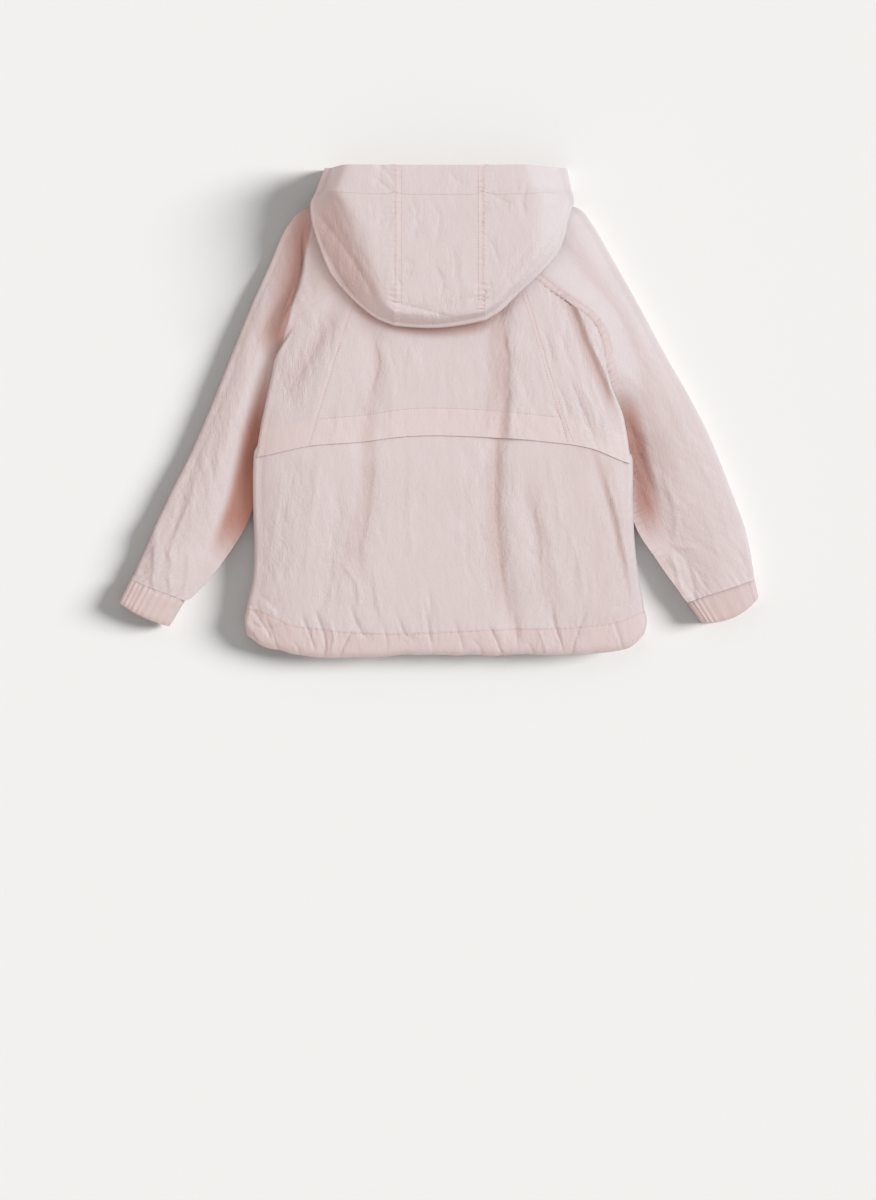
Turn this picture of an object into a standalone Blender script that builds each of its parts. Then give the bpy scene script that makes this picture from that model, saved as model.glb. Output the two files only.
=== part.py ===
"""A child's hooded jacket laid on its front on a flat surface, its back up and its hood folded down.

The sizes are millimetres in the tables and are turned into metres as each panel is made.
+X is the jacket's right as it is seen from above, +Y points from the hem to the hood, and z = 0 is the surface.
Every panel is one sheet of cloth: a grid of points on the cloth's outer face, thickened inwards.
"""

import math

import bmesh
import bpy
import numpy as np

MM = 0.001
ORIGIN = np.array([1.5, -1.85, 0.0])  # the middle of the whole jacket, which becomes the origin
CLOTH = 1.2  # one layer of crinkled nylon with its seam allowances
CASING = 2.0  # a folded casing with elastic in it, at the hem and the cuffs
SEAM = 0.17  # each panel stops this far short of its seam line
LAP = 3.6  # how far the back panel lies below the yoke that laps over it
LAP_ENDS = (-78.0, -64.0)  # between these the back comes up from under the yoke's free edge
ARMPIT_LIFT = 11.5  # height of the side seam where the sleeve lies beneath it
LIFT_ENDS = (-155.0, -95.0)
FRONT_LIFT = (-62.0, -92.0)  # between these the front's edge comes up to the side seam
CENTRE = 6.0  # x of the centre back and of the zip
ZIP_HALF = 4.0
ZIP_ENDS = (265.0, -268.0)
ZIP_WALL = 1.6
ROLL = 9.5  # radius of the fold where the back rolls over the sleeve, and of the body's sides
HOOD_ROLL = 8.0
HOOD_EDGE = {"left": 3.0, "right": 5.0}  # radius of the roll along the hood's lower edge
# Share of each hood section that lies flat before it falls to the folded outline, at a few of the sections.
HOOD_FLAT = {"left": ((0, 4, 5, 7, 9, 12), (0.45, 0.5, 0.6, 0.42, 0.36, 0.5)),
             "right": ((0, 4, 12), (0.6, 0.7, 0.72))}
SEAM_DROP = 0.8  # the sleeve passes this far below the rolled edge of the yoke

# Body sections from below the hem to the neck.
# y, left fold, right fold, height at the folds, height at the centre
BODY = np.array([
    (-285, -212, 230, 20, 27),
    (-240, -209, 227, 22, 31),
    (-200, -202, 221, 24, 35),
    (-165, -201, 217, 25, 37),
    (-113, -202, 214, 26, 39),
    (-53, -201, 213, 28, 41),
    (-20, -197, 208, 29, 41),
    (38, -185, 197, 30, 41),
    (93, -172, 184, 30, 40),
    (130, -185, 196, 26, 40),
    (166, -190, 200, 24, 38),
    (190, -186, 196, 22, 35),
    (232, -160, 172, 14, 28),
], float)

# Seams of the back, as points from the neck down: the raglan seam and the slanted seam inside it.
RAGLAN = {
    "left": np.array([(-38, 187), (-50, 177), (-65, 166), (-107, 131), (-157, 92),
                      (-174, 35), (-187, -23), (-190, -48), (-191.5, -62)], float),
    "right": np.array([(49, 187), (61, 177), (76, 166), (118, 132), (171, 92),
                       (186, 37), (198, -17), (202, -48), (203, -66)], float),
}
SLANT = {
    "left": np.array([(-65, 166), (-93, 103), (-117, 30), (-138, -41)], float),
    "right": np.array([(76, 166), (92, 121), (118, 37), (141, -39)], float),
}
FLAP_EDGE = np.array([(-215, -54), (-201, -53), (-138, -41), (-85, -37), (-36, -31),
                      (58, -32), (113, -36), (168, -44), (213, -60), (227, -61)], float)
HEM_SEAM = np.array([(-225, -215), (-210, -217), (-184, -224), (-164, -234), (-129, -240), (80, -240),
                     (162, -237), (201, -231), (222, -222), (235, -218)], float)
BACK_TOP = -8.0  # where the lower back is sewn under the yoke
BACK_END = -240.0
PUCKERS = np.array([-138, -124, -102, -69, -36, -12, 22, 69, 83, 118, 136, 155, 197], float)
PUCKER_DEPTH = 1.8
HEM_EDGE = np.array([(-225, -240), (-212, -246), (-195, -257), (-162, -267), (-20, -269), (80, -269),
                     (190, -265), (213, -260), (228, -246), (240, -240)], float)

# The largest folds of the back: a trough from the first point through the second to the third.
# x0, y0, x1, y1, x2, y2, width, depth
FOLDS = np.array([
    (68, 120, 77, 44, 66, -40, 9, 3.0),
    (66, -75, 66, -121, 82, -236, 10, 2.7),
    (-69, 75, -66, 35, -83, -36, 10, 2.4),
    (-80, -76, -82, -110, -90, -180, 12, 2.1),
    (148, 107, 168, 62, 184, 20, 9, 2.7),
    (177, -75, 190, -118, 209, -200, 9, 3.0),
    (-113, 108, -140, 60, -163, 18, 14, 2.1),
    (-152, -76, -164, -132, -176, -178, 14, 1.8),
    (95, -102, 112, -154, 124, -222, 11, 1.8),
    (-107, -87, -107, -154, -119, -202, 12, 1.8),
], float)

# Sleeve sections from the neck to the cuff.
# outer edge x and y, inner edge x and y, height, reach of the outer fold, place across the sleeve of the
# fold in the cloth and its step, radius of the underarm fold
SLEEVE = {
    "left": np.array([
        (-82, 224, -38, 187, 26, 7.0, 0.60, 0, 3.0),
        (-138, 223, -50, 177, 25, 7.0, 0.85, 0, 3.0),
        (-165, 202, -65, 166, 24, 7.5, 0.84, 7, 3.0),
        (-184, 160, -107, 131, 22, 8.0, 0.57, 11, 3.0),
        (-206, 110, -157, 92, 21, 8.0, 0.26, 7, 3.0),
        (-228, 55, -174, 35, 20, 8.0, 0.24, 0, 3.0),
        (-250, 0, -187, -23, 20, 8.0, 0.24, 0, 3.0),
        (-272, -50, -196, -80, 20, 8.0, 0.24, 0, 3.4),
        (-294, -94, -209, -125, 20, 8.0, 0.24, 0, 5.5),
        (-316, -143, -239, -172, 20, 8.0, 0.24, 0, 6.5),
        (-332, -178, -266, -203, 21, 8.0, 0.24, 0, 7.5),
        (-337, -187, -277, -210, 19, 8.0, 0.24, 0, 8.0),
    ], float),
    "right": np.array([
        (93, 224, 49, 187, 26, 7.0, 0.60, 0, 3.0),
        (149, 223, 61, 177, 26, 7.0, 0.60, 0, 3.0),
        (170, 203, 76, 166, 26, 7.5, 0.50, 0, 3.0),
        (195, 160, 118, 132, 25, 8.0, 0.40, 0, 3.0),
        (223, 110, 171, 92, 22, 8.0, 0.26, 0, 3.0),
        (250, 60, 186, 37, 20, 8.0, 0.24, 0, 3.0),
        (278, 11, 198, -17, 19, 8.0, 0.24, 0, 3.0),
        (300, -33, 209, -72, 19, 8.0, 0.24, 0, 3.4),
        (322, -88, 216, -125, 19, 8.0, 0.24, 0, 5.5),
        (338, -132, 241, -166, 19, 8.0, 0.24, 0, 6.5),
        (346, -172, 265, -200, 21, 8.0, 0.24, 0, 7.5),
        (348, -187, 274, -212, 19, 8.0, 0.24, 0, 8.0),
    ], float),
}
ARMPIT_ROW = 6.45  # the raglan seam ends between these sleeve sections
FOLD_ROWS = (3.9, 4.7)  # the yoke starts to roll over the sleeve between these sections
NECK_ROWS = np.array([0, 0.7, 1.4])
SEAM_ROWS = np.array([2.12, 2.7, 3.2, 3.6, 4.0, 4.4, 4.8, 5.4, 6.0])
UNDERARM_ROWS = np.array([6.35, 6.65, 7.1, 7.7, 8.4, 9.2, 10.1, 10.98])

# Cuffs: the ends of the far edge of the band, outer x and y, inner x and y, and the bow of the edge.
CUFF = {"left": (-349, -212, -294, -238, 3.0), "right": (352, -206, 290, -234, 9.0)}
CUFF_HEIGHT = 20.0
CUFF_GATHERS = 11
CUFF_GATHER_DEPTH = 1.1

# Hood side panels, a row for each section from the mouth round to the crown.
# y of the seam with the centre panel, folded outline x and y, height beneath it, then the way underneath
# to the zip or the neck seam: middle x, y and z, end x, y and z
HOOD = {
    "left": np.array([
        (263.5, -124, 268, 0, -60, 268, 0, 1.7, 266, 0),
        (250, -129, 252, 0, -65, 250, 0, 1.7, 232, 0),
        (240, -133, 241, 3, -75, 249, 0, 1.7, 191, 0),
        (235.5, -134.5, 237, 7, -82, 248, 0, -38, 191.5, 0.6),
        (231, -136, 233, 12, -92, 247, 1, -58, 207.5, 1.2),
        (222, -139, 224, 22, -110, 233, 22, -82, 232, 8),
        (206, -138, 207, 31, -104, 215, 36, -59, 206.5, 30.5),
        (186, -133, 188, 35, -90, 198, 40, -40, 188.5, 36),
        (166, -125, 165, 38, -80, 184, 42, -36, 187.5, 36.2),
        (146, -114, 142, 42, -70, 168, 44, -33, 187.5, 36.6),
        (130, -93, 118, 43, -58, 152, 45, -31, 187.5, 37),
        (118, -69, 98.5, 43.5, -48, 142, 45, -29, 187.5, 37.2),
        (112, -47, 89, 44, -40, 140, 45, -28, 187.5, 37.2),
    ], float),
    "right": np.array([
        (263.5, 142, 267, 0, 72, 267, 0, 10.3, 266, 0),
        (250, 145, 252, 0, 77, 250, 0, 10.3, 232, 0),
        (240, 147, 241, 3, 87, 249, 0, 10.3, 191, 0),
        (235.5, 148, 237, 7, 93, 248, 0, 49, 191.5, 0.6),
        (231, 149, 233, 12, 104, 247, 1, 69, 207.5, 1.2),
        (222, 149, 224, 22, 122, 233, 22, 93, 232, 8),
        (206, 143, 207, 31, 114, 215, 36, 70, 206.5, 30),
        (186, 139, 188, 35, 101, 198, 40, 51, 188.5, 36),
        (166, 130, 166, 38, 92, 184, 42, 47, 187.5, 36.2),
        (146, 110, 144, 42, 82, 168, 44, 44, 187.5, 36.6),
        (130, 85.5, 121, 43, 68, 152, 45, 42, 187.5, 37),
        (120, 69, 105, 43.5, 57, 144, 45, 40, 187.5, 37.2),
        (114, 52, 94.5, 44, 47, 142, 45, 39, 187.5, 37.2),
    ], float),
}
HOOD_SEAM_X = {"left": -46.5, "right": 51.0}
HOOD_CREST = np.array([(90, 63), (112, 63), (150, 62), (200, 60), (240, 56), (269, 51)], float)

PINK = (0.80, 0.62, 0.60, 1.0)
ZIP_PINK = (0.72, 0.52, 0.50, 1.0)


def smooth(at, knots, values):
    """A cubic curve through (knots, values), its slope at each knot taken from the knots beside it."""
    knots = np.asarray(knots, float)
    values = np.asarray(values, float)
    slopes = np.gradient(values, knots)
    at = np.clip(at, knots[0], knots[-1])
    i = np.clip(np.searchsorted(knots, at, side="right") - 1, 0, len(knots) - 2)
    step = knots[i + 1] - knots[i]
    t = (at - knots[i]) / step
    return ((1 + 2 * t) * (1 - t) ** 2 * values[i] + t * (1 - t) ** 2 * step * slopes[i]
            + t * t * (3 - 2 * t) * values[i + 1] + t * t * (t - 1) * step * slopes[i + 1])


def along(rows, at):
    """The table's rows read between rows: at = 1.5 is half way from the second row to the third."""
    knots = np.arange(len(rows))
    return np.stack([smooth(at, knots, rows[:, c]) for c in range(rows.shape[1])], axis=-1)


def ease(t):
    """0 below 0, 1 above 1 and a smooth step between."""
    t = np.clip(t, 0, 1)
    return t * t * (3 - 2 * t)


def fold_depth(x, y):
    """How far the large folds lower the back at (x, y)."""
    depth = np.zeros(np.broadcast(x, y).shape)
    for x0, y0, x1, y1, x2, y2, width, deep in FOLDS:
        t = np.clip((y0 - y) / (y0 - y2), 0, 1)
        middle = np.clip((y0 - y1) / (y0 - y2), 0.2, 0.8)
        line = smooth(t, [0, middle, 1], [x0, x1, x2])
        ends = np.exp(-((np.clip(y - y0, 0, None) + np.clip(y2 - y, 0, None)) / 18) ** 2)
        depth = depth + deep * ends * np.exp(-((x - line) / width) ** 2)
    return depth


def back_height(x, y):
    """Height of the back's outer face: an arch between the fold edges, lowered by the large folds."""
    left, right, edge, crown = (smooth(y, BODY[:, 0], BODY[:, c]) for c in range(1, 5))
    half = np.where(x < CENTRE, CENTRE - left, right - CENTRE) - ROLL
    across = np.clip(np.abs(x - CENTRE) / half, 0, 1)
    arch = (1 - across ** 5) ** 0.8
    return edge + (crown - edge) * arch - fold_depth(x, y) * (0.25 + 0.75 * arch)


def rolled(inner, end, height, low, reach, steps):
    """A fold from the point end at height, out by its reach and back in underneath, as half an ellipse."""
    way = end - inner
    way = way / np.linalg.norm(way)
    turn = np.linspace(0, math.pi, steps + 1)[1:]
    flat = end + np.outer(np.sin(turn) * reach, way)
    return np.column_stack([flat, height - (height - low) / 2 * (1 - np.cos(turn))])


def sheet(name, grid, material, wall=CLOTH, flip=False, ring=False):
    """One panel: the grid of outer points (millimetres) as a surface, thickened inwards by its wall."""
    rows, columns, _ = grid.shape
    mesh = bpy.data.meshes.new(name)
    shape = bmesh.new()
    points = [[shape.verts.new((point - ORIGIN) * MM) for point in row] for row in grid]
    for r in range(rows - 1):
        for c in range(columns if ring else columns - 1):
            n = (c + 1) % columns
            corners = [points[r][c], points[r + 1][c], points[r + 1][n], points[r][n]]
            shape.faces.new(corners[::-1] if flip else corners)
    bmesh.ops.triangulate(shape, faces=shape.faces[:], quad_method="FIXED")
    shape.to_mesh(mesh)
    shape.free()
    mesh.shade_smooth()
    mesh.materials.append(material)
    panel = bpy.data.objects.new(name, mesh)
    JACKET.objects.link(panel)
    thicken = panel.modifiers.new("wall", "SOLIDIFY")
    thicken.thickness = wall * MM
    thicken.offset = -1
    thicken.use_quality_normals = True
    return panel


def cloth_material(name, colour, roughness):
    material = bpy.data.materials.new(name)
    material.use_nodes = True
    shader = material.node_tree.nodes["Principled BSDF"]
    shader.inputs["Base Color"].default_value = colour
    shader.inputs["Roughness"].default_value = roughness
    shader.inputs["Metallic"].default_value = 0.0
    material.diffuse_color = colour
    return material


def slant_point(side, t):
    return along(SLANT[side], t * (len(SLANT[side]) - 1))


def flap_bend(start, end, share):
    """How far the flap's free edge lies from the straight line between two of its points, along that line."""
    line = start + (end - start) * share[:, None]
    return smooth(line[:, 0], *FLAP_EDGE.T) - line[:, 1]


def make_yoke_centre(material):
    """The middle of the yoke, between the slanted seams, from the neck to the flap's free edge."""
    sides = {}
    for side in ("left", "right"):
        neck = along(RAGLAN[side], NECK_ROWS)
        sides[side] = np.concatenate([neck, slant_point(side, np.linspace(0, 1, 12))])
    across = np.linspace(0, 1, 17)
    bend = flap_bend(sides["left"][-1], sides["right"][-1], across)
    rows = []
    for i, (left, right) in enumerate(zip(sides["left"], sides["right"])):
        flat = left + (right - left) * across[:, None]
        down = i / (len(sides["left"]) - 1)
        flat[:, 1] += down ** 3 * bend
        flat[0, 0] += SEAM
        flat[-1, 0] -= SEAM
        rows.append(np.column_stack([flat, back_height(flat[:, 0], flat[:, 1])]))
    return sheet("yoke_centre", np.array(rows), material)


def raglan_roll(row):
    """Radius of the fold where the yoke rolls over the sleeve, at a sleeve section."""
    return ROLL * ease((row - FOLD_ROWS[0]) / (FOLD_ROWS[1] - FOLD_ROWS[0]))


def make_yoke_side(side, material):
    """The side of the yoke, from the slanted seam to the raglan seam, rolled over the sleeve further down."""
    sign = -1 if side == "left" else 1
    raglan_rows = np.concatenate([SEAM_ROWS, [6.5, 7.0, 7.5, 8.0]])
    down = (raglan_rows - 2) / 6
    share = np.linspace(0, 1, 8)
    bend = flap_bend(SLANT[side][-1], RAGLAN[side][-1], share)
    rows = []
    for row, t in zip(raglan_rows, down):
        outer = along(RAGLAN[side], row)
        inner = slant_point(side, t)
        inner[0] += sign * SEAM
        radius = raglan_roll(row)
        flat = inner + (outer - inner) * share[:, None]
        flat[:, 1] += t ** 4 * bend
        top = np.column_stack([flat, back_height(flat[:, 0], flat[:, 1])])
        steps = 6
        low = top[-1, 2] - 2 * radius * (1 - 0.12 * ease((row - 6) / 1.2))
        hem = rolled(flat[-2], flat[-1], top[-1, 2], low, radius, steps)
        spread = flat[-2] + (flat[-1] - flat[-2]) * np.linspace(0.15, 1, steps + 1)[:, None]
        straight = np.column_stack([spread, back_height(spread[:, 0], spread[:, 1])])
        folded = np.concatenate([top[-1:], hem])
        blend = radius / ROLL
        rows.append(np.concatenate([top[:-1], straight + (folded - straight) * blend]))
    grid = np.array(rows)
    grid[:, -1, 0] -= sign * SEAM
    return sheet("yoke_" + side, grid, material, flip=side == "left")


def body_row(y, inset, low, columns=25):
    """Points across the back at y, with both sides rolled under; inset lowers it beneath the yoke."""
    left, right = (float(smooth(y, BODY[:, 0], BODY[:, c])) for c in (1, 2))
    ends = {-1: left + ROLL, 1: right - ROLL}
    x = np.linspace(ends[-1], ends[1], columns)
    top = np.column_stack([x, np.full_like(x, y), back_height(x, y) - inset])
    sides = {}
    for sign in (-1, 1):
        end = np.array([ends[sign], y])
        start = top[0 if sign < 0 else -1, 2]
        sides[sign] = rolled(np.array([CENTRE, y]), end, start, low + inset, ROLL - 2 * inset, 6)
    return np.concatenate([sides[-1][::-1], top, sides[1]])


def side_seam_height(y):
    """Height of the side seam: off the surface by the armpit, where the sleeve lies beneath."""
    return ARMPIT_LIFT * ease((y - LIFT_ENDS[0]) / (LIFT_ENDS[1] - LIFT_ENDS[0]))


def back_grid():
    """Rows of the lower back, from under the yoke to the hem seam, its sides rolled down to the side seams."""
    rows = []
    for t in np.linspace(0, 1, 14):
        y = BACK_TOP + (BACK_END - BACK_TOP) * t
        inset = LAP * ease((y - LAP_ENDS[0]) / (LAP_ENDS[1] - LAP_ENDS[0]))
        row = body_row(y, inset, side_seam_height(y))
        row[:, 1] = BACK_TOP + (smooth(row[:, 0], *HEM_SEAM.T) + SEAM - BACK_TOP) * t
        rows.append(row)
    return np.array(rows)


def make_back_panel(material):
    return sheet("back_panel", back_grid(), material)


def sleeve_section(side, row):
    """One ring of the sleeve at a table row: over the top from the inner seam, round the outer fold and
    back along the surface. Above the armpit it stays open towards the body, below it closes at the seam."""
    out_x, out_y, in_x, in_y, crest, outer, fold_at, step, inner = along(SLEEVE[side], row)
    edge = np.array([out_x, out_y])
    way = (edge - (in_x, in_y)) / np.linalg.norm(edge - (in_x, in_y))
    start = np.array([in_x, in_y]) + way * 4 * SEAM
    width = np.linalg.norm(edge - start)
    closed = ease((row - ARMPIT_ROW + 0.25) / 0.5)
    folded = raglan_roll(row) / ROLL
    seam = back_height(in_x, in_y) - folded * (2 * ROLL + SEAM_DROP)
    first = seam + (2 * inner + 0.3 - seam) * closed
    reach = 1 - outer / width
    near = 4.0 / width
    across = np.concatenate([np.linspace(0, fold_at - near, 3), [fold_at],
                             np.linspace(fold_at + near, 1, 7)]) * reach
    rise = ease((across / reach - 0.12) / 0.55)
    fall = np.clip((across / reach - 0.5) / 0.5, 0, 1) ** 3.5
    height = first + (crest - first) * rise + (2 * outer - crest) * fall
    bump = step * rise * (1 - ease((across / reach - fold_at + near) / (2 * near)))
    top = np.column_stack([start + np.outer(across * width, way), height + bump])
    turn = rolled(start, start + way * reach * width, top[-1, 2], 0.0, outer, 6)
    back = np.linspace(reach, 0, 5)[1:]
    floor = np.column_stack([start + np.outer(back * width, way), np.zeros(len(back))])
    lift = np.linspace(0, math.pi / 2, 4)
    tuck = inner / width
    curl_way = tuck * (1 - np.sin(lift))
    curl = np.column_stack([start + np.outer(curl_way * width, way), inner * (1 - np.cos(lift))])
    flat_way = np.linspace(tuck, 0, len(lift))
    flat_end = np.column_stack([start + np.outer(flat_way * width, way), np.zeros(len(lift))])
    end = flat_end + (curl - flat_end) * closed
    return np.concatenate([top, turn, floor[:-1], end])


def make_sleeve(side, material):
    """A raglan sleeve: one sheet rolled into a tube, open at its top where it is sewn to the body."""
    sections = np.concatenate([NECK_ROWS, SEAM_ROWS, UNDERARM_ROWS])
    grid = np.array([sleeve_section(side, row) for row in sections])
    return sheet("sleeve_" + side, grid, material, flip=side == "left")


def make_cuff(side, material):
    """An elastic cuff: a flattened ring with gathers over its upper face, flat where it rests."""
    last = along(SLEEVE[side], np.array(11.0))
    near = {"out": last[0:2], "in": last[2:4]}
    far = {"out": np.array(CUFF[side][0:2]), "in": np.array(CUFF[side][2:4])}
    turn = np.concatenate([np.linspace(0, math.pi, 4 * CUFF_GATHERS, endpoint=False),
                           np.linspace(math.pi, 2 * math.pi, 12, endpoint=False)])
    up = np.sin(turn)
    across = np.cos(turn)
    ripple = np.cos(2 * CUFF_GATHERS * turn) * CUFF_GATHER_DEPTH * np.clip(3 * up, 0, 1)
    height = CUFF_HEIGHT / 2 * (1 + np.sign(up) * np.abs(up) ** 0.55) + ripple
    rows = []
    for t in (0.014, 0.5, 1.0):
        outer = near["out"] + (far["out"] - near["out"]) * t
        inner = near["in"] + (far["in"] - near["in"]) * t
        half = np.linalg.norm(outer - inner) / 2
        way = (outer - inner) / (2 * half)
        down = np.array([way[1], -way[0]]) * (-1 if side == "left" else 1)
        flat = (outer + inner) / 2 + np.outer(across * half, way)
        flat = flat + np.outer(up ** 2 * CUFF[side][4] * t, down)
        rows.append(np.column_stack([flat, np.maximum(height, 0)]))
    return sheet("cuff_" + side, np.array(rows), material, wall=CASING, ring=True, flip=side == "right")


def front_grid(side):
    """Rows of one front, flat on the surface: from the zip to the raglan seam, then to the side seam."""
    sign = -1 if side == "left" else 1
    raglan = along(RAGLAN[side], np.concatenate([NECK_ROWS, SEAM_ROWS]))
    raglan = np.column_stack([raglan, np.zeros(len(raglan))])
    back = back_grid()[:, 0 if side == "left" else -1]
    outer = np.concatenate([raglan, back[back[:, 1] < raglan[-1, 1] - 25]])
    outer[:, 0] -= sign * 3 * SEAM
    across = np.array([0, 0.3, 0.6, 0.85, 0.93, 1.0])
    hem = len(outer) - len(raglan)
    rows = []
    for i, edge in enumerate(outer):
        x = CENTRE + sign * (ZIP_HALF + SEAM)
        x = x + (edge[0] - x) * across
        down = max(0, (i - len(raglan) + 1) / hem)
        y = edge[1] + (smooth(x, *HEM_SEAM.T) - smooth(edge[0], *HEM_SEAM.T)) * down
        rise = edge[2] * ease((edge[1] - FRONT_LIFT[0]) / (FRONT_LIFT[1] - FRONT_LIFT[0]))
        rows.append(np.column_stack([x, y, rise * ease((across - 0.8) / 0.2)]))
    return np.array(rows)


def make_front(side, material):
    return sheet("front_" + side, front_grid(side), material, flip=side == "right")


def make_hem_back(material):
    """The back of the hem casing: the back's last section carried on to the edge, gathered by its elastic."""
    base = body_row(BACK_END, 0.0, 0.0, 61)
    top = smooth(base[:, 0], *HEM_SEAM.T) - 3 * SEAM
    rows = []
    for t in (0, 0.3, 0.65, 1.0):
        row = body_row(BACK_END - 26 * t, 0.0, 0.0, 61)
        row[:, 0] = CENTRE + (base[:, 0] - CENTRE) * (1 + 0.012 * math.sin(math.pi * t))
        row[:, 1] = top + (smooth(row[:, 0], *HEM_EDGE.T) - top) * t
        gather = np.exp(-((row[:, 0, None] - PUCKERS) / 5) ** 2).sum(axis=1)
        gather = np.where(row[:, 2] > ROLL, gather, 0)
        row[:, 2] *= 1 - 0.25 * t * t
        row[:, 2] -= PUCKER_DEPTH * gather * math.sin(math.pi * (0.15 + 0.6 * t))
        rows.append(row)
    return sheet("hem_back", np.array(rows), material, wall=CASING)


def make_hem_front(side, material):
    """The front of the hem casing, flat on the surface, from the zip to the side seam."""
    sign = -1 if side == "left" else 1
    seam = front_grid(side)[-1]
    seam[-1, 0] -= sign * SEAM
    rows = []
    for t in (0, 0.5, 1.0):
        y = seam[:, 1] - 2 * SEAM
        y = y + (smooth(seam[:, 0], *HEM_EDGE.T) - y) * t
        rows.append(np.column_stack([seam[:, 0], y, np.zeros(len(seam))]))
    return sheet("hem_front_" + side, np.array(rows), material, wall=CASING, flip=side == "right")


def make_zip(material):
    """The closed zip, from the hem's edge to the hood's mouth, as one flat strip of tape and teeth."""
    half = ZIP_HALF - SEAM
    rows = [[(CENTRE - half, y, 0), (CENTRE + half, y, 0)] for y in np.linspace(*ZIP_ENDS, 5)]
    return sheet("front_zip", np.array(rows, float), material, wall=ZIP_WALL, flip=True)


def hood_row(side, row):
    """One section of a hood side panel: flat, then falling to the folded outline, round it and underneath."""
    seam_y, out_x, out_y, low, mid_x, mid_y, mid_z, end_x, end_y, end_z = along(HOOD[side], row)
    sign = -1 if side == "left" else 1
    low = max(low, 0.0)
    start = np.array([HOOD_SEAM_X[side] + sign * SEAM, seam_y])
    outline = np.array([out_x, out_y])
    way = (outline - start) / np.linalg.norm(outline - start)
    radius = HOOD_ROLL + (HOOD_EDGE[side] - HOOD_ROLL) * ease((row - 2) / 3)
    last = outline - way * radius
    t = np.linspace(0, 1, 9)
    high = smooth(seam_y, *HOOD_CREST.T)
    edge = low + 2 * radius
    past = t - smooth(row, *HOOD_FLAT[side])
    fall = past + np.sqrt(past ** 2 + 0.006)
    height = high + (edge - high) * (fall - fall[0]) / (fall[-1] - fall[0])
    top = np.column_stack([start + np.outer(t, last - start), height])
    turn = rolled(start, last, edge, low, radius, 6)
    s = np.linspace(0, 1, 7)[1:, None]
    begin = np.array([*last, low])
    middle = np.array([mid_x, mid_y, mid_z])
    end = np.array([end_x, end_y, end_z])
    under = begin * (1 - s) ** 2 + 2 * middle * s * (1 - s) + end * s * s
    zip_edge = CENTRE + sign * (ZIP_HALF + SEAM)
    under[:, 0] = sign * np.maximum(sign * under[:, 0], sign * zip_edge)
    under[:, 2] = np.maximum(under[:, 2], 0)
    return np.concatenate([top, turn, under])


def hood_side_grid(side):
    return np.array([hood_row(side, row) for row in np.linspace(0, 12, 15)])


def make_hood(material):
    """Three panels folded flat as a bag: two sides that close at the zip, and a centre strip over the crown."""
    grids = {side: hood_side_grid(side) for side in ("left", "right")}
    for side, grid in grids.items():
        sheet("hood_" + side, grid, material, flip=side == "left")
    left, right = (np.concatenate([g[:, 0], g[-1, 1:]]) for g in (grids["left"], grids["right"]))
    corner = len(grids["left"]) - 1
    apart = SEAM * (3 + 5 * np.exp(-((np.arange(len(left)) - corner - 2) / 6) ** 2))
    left[:, 0] += apart
    right[:, 0] -= apart
    across = np.linspace(0, 1, 6)[:, None]
    rows = [a + (b - a) * across for a, b in zip(left, right)]
    return sheet("hood_centre", np.array(rows), material)


JACKET = bpy.data.collections.new("hooded_jacket")


def main():
    for old in list(bpy.data.objects):
        bpy.data.objects.remove(old, do_unlink=True)
    bpy.context.scene.collection.children.link(JACKET)
    pink = cloth_material("pale pink crinkled nylon", PINK, 0.62)
    make_yoke_centre(pink)
    make_back_panel(pink)
    zip_pink = cloth_material("zip tape", ZIP_PINK, 0.5)
    make_zip(zip_pink)
    make_hem_back(pink)
    make_hood(pink)
    for side in ("left", "right"):
        make_yoke_side(side, pink)
        make_sleeve(side, pink)
        make_cuff(side, pink)
        make_front(side, pink)
        make_hem_front(side, pink)


main()
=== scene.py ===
"""The looks of a child's hooded jacket, laid on its front with its back up and its hood folded down.

The tables are millimetres on the surface that the jacket lies on: +X to the right, +Y from the hem to the
hood, z up. Each panel is a grid of points on the cloth's outer face. It has its solid's form, moved out along
its normal by listed creases, fine crinkles and the puckers of its seams, and it is then thickened
inwards.
"""

import math

import bpy
import numpy as np
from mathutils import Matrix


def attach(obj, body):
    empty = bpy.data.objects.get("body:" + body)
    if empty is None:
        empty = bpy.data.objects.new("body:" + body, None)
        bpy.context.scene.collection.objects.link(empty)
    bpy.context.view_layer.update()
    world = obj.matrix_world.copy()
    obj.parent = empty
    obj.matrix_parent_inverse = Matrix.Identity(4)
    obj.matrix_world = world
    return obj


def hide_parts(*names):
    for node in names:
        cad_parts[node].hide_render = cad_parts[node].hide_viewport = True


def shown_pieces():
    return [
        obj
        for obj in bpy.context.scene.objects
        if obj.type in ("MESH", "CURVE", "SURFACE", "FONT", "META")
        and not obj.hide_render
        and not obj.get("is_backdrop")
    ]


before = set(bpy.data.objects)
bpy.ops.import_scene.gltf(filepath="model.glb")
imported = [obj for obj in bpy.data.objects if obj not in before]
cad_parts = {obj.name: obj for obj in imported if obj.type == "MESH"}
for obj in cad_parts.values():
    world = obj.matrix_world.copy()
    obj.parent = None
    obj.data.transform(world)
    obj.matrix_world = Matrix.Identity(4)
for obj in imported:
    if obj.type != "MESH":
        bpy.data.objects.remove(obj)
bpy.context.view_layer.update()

MM = 0.001
ORIGIN = np.array([1.5, -1.85, 0.0])  # the middle of the whole jacket, which is the origin
SIDES = ("left", "right")
SIGN = {"left": -1, "right": 1}  # the way outwards along x
FINE = 1.8  # spacing of the grid where the cloth is seen
FINEST = 1.1  # and on the gathered hem
SLEEVE_ROWS = 1.35  # and of a sleeve's rings, close enough for its seam's puckers
PLAIN = 5.0  # and beneath
CLOTH = 1.0  # wall of one layer
CASING = 1.6  # and of the folded hem and cuffs
TAPE = 0.6  # and of the zip's tape
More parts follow.
